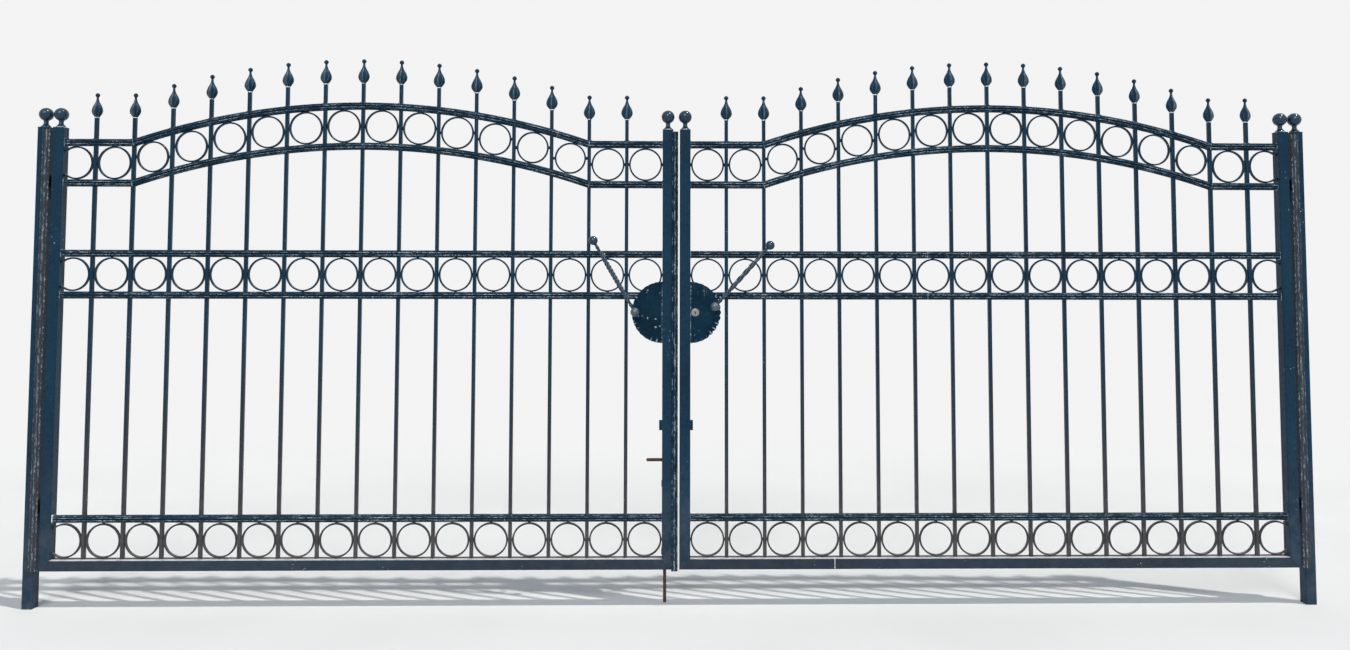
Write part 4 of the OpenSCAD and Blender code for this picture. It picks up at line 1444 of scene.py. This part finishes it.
# Bare weld near white: its bright metal, with a painted highlight over it
bright_weld = weld_metal("bright_weld", 1.0, WHITE_WELD_AND_HIGHLIGHT)
lock_nickel = satin_nickel("lock_nickel")
bolt_rust = rusty_iron("bolt_rust")


# Pieces


def leaf_frame(side):
    """Stiles and bottom rail of a leaf, mitred at the lower corners."""
    body, half, foot = BODY[side], TUBE / 2, GROUND_GAP + TUBE / 2
    for stile, x, lean in zip(("meeting_stile", "hinge_stile"), STILE_MIDDLES, (1, -1)):
        made = tube_run(side, Z, foot, STILE_TOP, (x, half), (lean, 0))
        made.stand_in(f"{side}_{stile}", "tube", body, "frame_paint", tube_paint)
    made = tube_run(side, X, *STILE_MIDDLES, (half, foot), (1, -1))
    made.stand_in(f"{side}_bottom_rail", "tube", body, "frame_paint", sill_paint)


def leaf_filling(side):
    """Embossed rails, bars with their finials, and rings of a leaf."""
    body = BODY[side]
    rails = {
        "low_rail": embossed_rails(side, [LOW_RAIL], level_line, 1),
        "mid_rails": embossed_rails(side, MID_RAILS, level_line, 2),
        "arch_rails": embossed_rails(side, ARCH_RAILS, arched_line, 4),
    }
    for name, made in rails.items():
        made.stand_in(f"{side}_{name}", "embossed", body, "embossed_paint", rail_paint, 60)
    square_bars(side).stand_in(f"{side}_bars", "square", body, "bar_paint", bar_paint)
    finial_row(side).stand_in(f"{side}_finials", "bud", body, "bar_paint", bud_paint, 55)
    for band in RING_BANDS:
        made = rings_of_band(side, band)
        made.stand_in(f"{side}_rings_{band}", "welded", body, "bar_paint", ring_paint)


def leaf_fittings(side):
    """Balls, lock plate, handle, hinge barrels and catch of a leaf."""
    body = BODY[side]
    caps = ball_caps(side)
    caps.piece(f"{side}_ball_caps", body, [f"{side}_balls"], "frame_paint", ball_paint)
    fittings = (
        ("lock_plate", lock_plate, "hammered", "plate_paint", plate_paint[side], 50),
        ("pull_handle", pull_handle, "twisted", "handle_paint", grip_paint, 60),
        ("hinge_barrels", hinge_barrels, "turned", "fittings_paint", fitting_paint, 40),
        ("catch", catch_plate, "plate", "fittings_paint", fitting_paint, 40),
    )
    for node, shape, ending, slot, material, sharp in fittings:
        shape(side).stand_in(f"{side}_{node}", ending, body, slot, material, sharp)


def leaf_welds(side):
    """Weld of a leaf, beyond what the CAD shows."""
    seams, bare = weld_seams(side), bare_welds(side)
    seams.piece(f"{side}_weld_seams", BODY[side], [], "bar_paint", seam_metal)
    bare.piece(f"{side}_bare_welds", BODY[side], [], "bar_paint", bright_weld)


def meeting_strip():
    """Cover strip over the meeting gap, on the left leaf."""
    low, high = leaf_box("left", "meeting_strip")
    made = Surface("left")
    embossed_strip(made, low[X], high[X], (low[Z], high[Z]), 31)
    return made


def post_strips():
    """Cover strips over the posts' fronts and the hinge gaps."""
    made = Surface("left")
    for side, seed in (("left", 41), ("right", 46)):
        made.side = side
        embossed_strip(made, *POST_STRIP, span("post_strips", Z), seed)
    return made


for side in SIDES:
    leaf_frame(side)
    leaf_filling(side)
    leaf_fittings(side)
    leaf_welds(side)
meeting_strip().stand_in("meeting_strip", "embossed", "left_leaf", "embossed_paint", strip_paint, 60)
drop_bolt().stand_in("drop_bolt", "bent", "bolt", "bolt_iron", bolt_rust)
key_cylinder().stand_in("right_key_cylinder", "turned", "right_leaf", "lock_steel", lock_nickel, 35)
bolt_guides().stand_in("bolt_guides", "welded", "left_leaf", "fittings_paint", fitting_paint)
lock_case().stand_in("right_lock_case", "box", "right_leaf", "fittings_paint", fitting_paint)
for side in SIDES:
    post = tube_run(side, Z, 0.0, STILE_TOP, (POST_X, TUBE / 2))
    post.stand_in(f"{side}_post", "tube", "posts", "frame_paint", tube_paint)
    pins = hinge_pins(side)
    pins.stand_in(f"{side}_hinge_pins", "turned", "posts", "fittings_paint", fitting_paint)
post_caps().piece("post_ball_caps", "posts", ["post_balls"], "frame_paint", ball_paint)
post_strips().stand_in("post_strips", "embossed", "posts", "embossed_paint", post_strip_paint, 60)


# Floor, light and camera

STAGE_ENDS = (-16.0, 21.0)
STAGE_FRONT = -9.0
STAGE_BACK = 9.0
STAGE_BEND = 3.0
STAGE_TOP = 14.0
STAGE_TONES = ((0.66, 0.66, 0.655), (0.70, 0.70, 0.695))
WHITE = (1, 1, 1, 1)
WHITE_STRENGTH = 0.90
SKY_BLUE = (0.62, 0.80, 1.0, 1)
SKY_STRENGTH = 0.26
LAMPS_AIM = (2.36, 0.0, 1.0)
# The camera fitted to the photo, whose width and focal length are in pixels
PHOTO_W = 1350
FOCAL_LENGTH = 1002.42
SENSOR_W = 36.0
CAMERA_SHIFT = -0.0799
CAMERA_AT = (2.2970, -3.7748, 1.2427)
CAMERA_TURN = (92.951, -0.100, -0.945)


def stage_paint():
    """Pale floor that keeps the gate's shadows, and further back plain white."""
    p = Paint("stage_pale")
    p.colour = p.mix(p.between(p.noise(p.place, 0.7, 3), 0.3, 0.7), *STAGE_TONES)
    p.finish(0.8, p.bump(p.noise(p.place, 30, 3), 0.001, 0.2))
    back = p.between(p.axis(p.place, "Y"), 0.6, 4.6)
    white = p.node("ShaderNodeEmission", "Emission", {"Color": WHITE, "Strength": WHITE_STRENGTH})
    p.show("Material Output", p.times(p.seen(), back), p.shader.outputs["BSDF"], white)
    return p.material


def pale_stage():
    """Floor that runs back and rises into a backdrop: level, a quarter circle, then upright."""
    turn = np.linspace(0, math.pi / 2, 24)
    bend_y = STAGE_BACK - STAGE_BEND + STAGE_BEND * np.sin(turn)
    bend_z = STAGE_BEND - STAGE_BEND * np.cos(turn)
    y = np.concatenate([[STAGE_FRONT, 0.0, STAGE_BEND], bend_y, [STAGE_BACK]])
    z = np.concatenate([[0.0, 0.0, 0.0], bend_z, [STAGE_TOP]])
    points = xyz(STAGE_ENDS, y[:, None], z[:, None])
    faces = grid_faces(len(y), 2, around=False)
    mesh = bpy.data.meshes.new("stage_floor")
    mesh.from_pydata(points.reshape(-1, 3).tolist(), [], faces.tolist())
    mesh.polygons.foreach_set("use_smooth", np.ones(len(mesh.polygons), bool))
    mesh.materials.append(stage_paint())
    floor = bpy.data.objects.new("stage_floor", mesh)
    bpy.context.scene.collection.objects.link(floor)


def lamp(name, place, strength, colour, width):
    """Far light from a place towards the middle of the gate, its width in degrees."""
    light = bpy.data.lights.new(name, "SUN")
    light.energy, light.color, light.angle = strength, colour, math.radians(width)
    made = bpy.data.objects.new(name, light)
    bpy.context.scene.collection.objects.link(made)
    made.location = place
    x, y, z = np.subtract(LAMPS_AIM, place)
    made.rotation_euler = (math.acos(-z / math.hypot(x, y, z)), 0, math.atan2(-x, y))


def studio_world():
    """Blue sky light on the gate, and plain white where the world itself is seen."""
    world = bpy.data.worlds.new("studio")
    bpy.context.scene.world = world
    world.use_nodes = True
    nodes = Nodes(world.node_tree)
    sky = world.node_tree.nodes["Background"]
    nodes.feed(sky.inputs["Color"], SKY_BLUE)
    nodes.feed(sky.inputs["Strength"], SKY_STRENGTH)
    inputs = {"Color": WHITE, "Strength": WHITE_STRENGTH}
    white = nodes.node("ShaderNodeBackground", "Background", inputs)
    nodes.show("World Output", nodes.seen(), sky.outputs["Background"], white)


def street_camera():
    """Camera of the photo, at a usual eye level in the street."""
    lens = bpy.data.cameras.new("street_camera")
    lens.sensor_width = SENSOR_W
    lens.lens = FOCAL_LENGTH / PHOTO_W * SENSOR_W
    lens.shift_y = CAMERA_SHIFT
    lens.clip_start, lens.clip_end = 0.05, 100
    camera = bpy.data.objects.new("street_camera", lens)
    bpy.context.scene.collection.objects.link(camera)
    camera.location = CAMERA_AT
    camera.rotation_euler = [math.radians(angle) for angle in CAMERA_TURN]
    bpy.context.scene.camera = camera


pale_stage()
lamp("sun", (4.26, -0.825, 5.55), 2.4, (1.0, 0.97, 0.92), 1.2)
lamp("open_sky", (1.6, -5.0, 4.6), 1.6, (0.96, 0.98, 1.0), 30)
studio_world()
street_camera()

view = bpy.context.scene.view_settings
view.view_transform = "Standard"
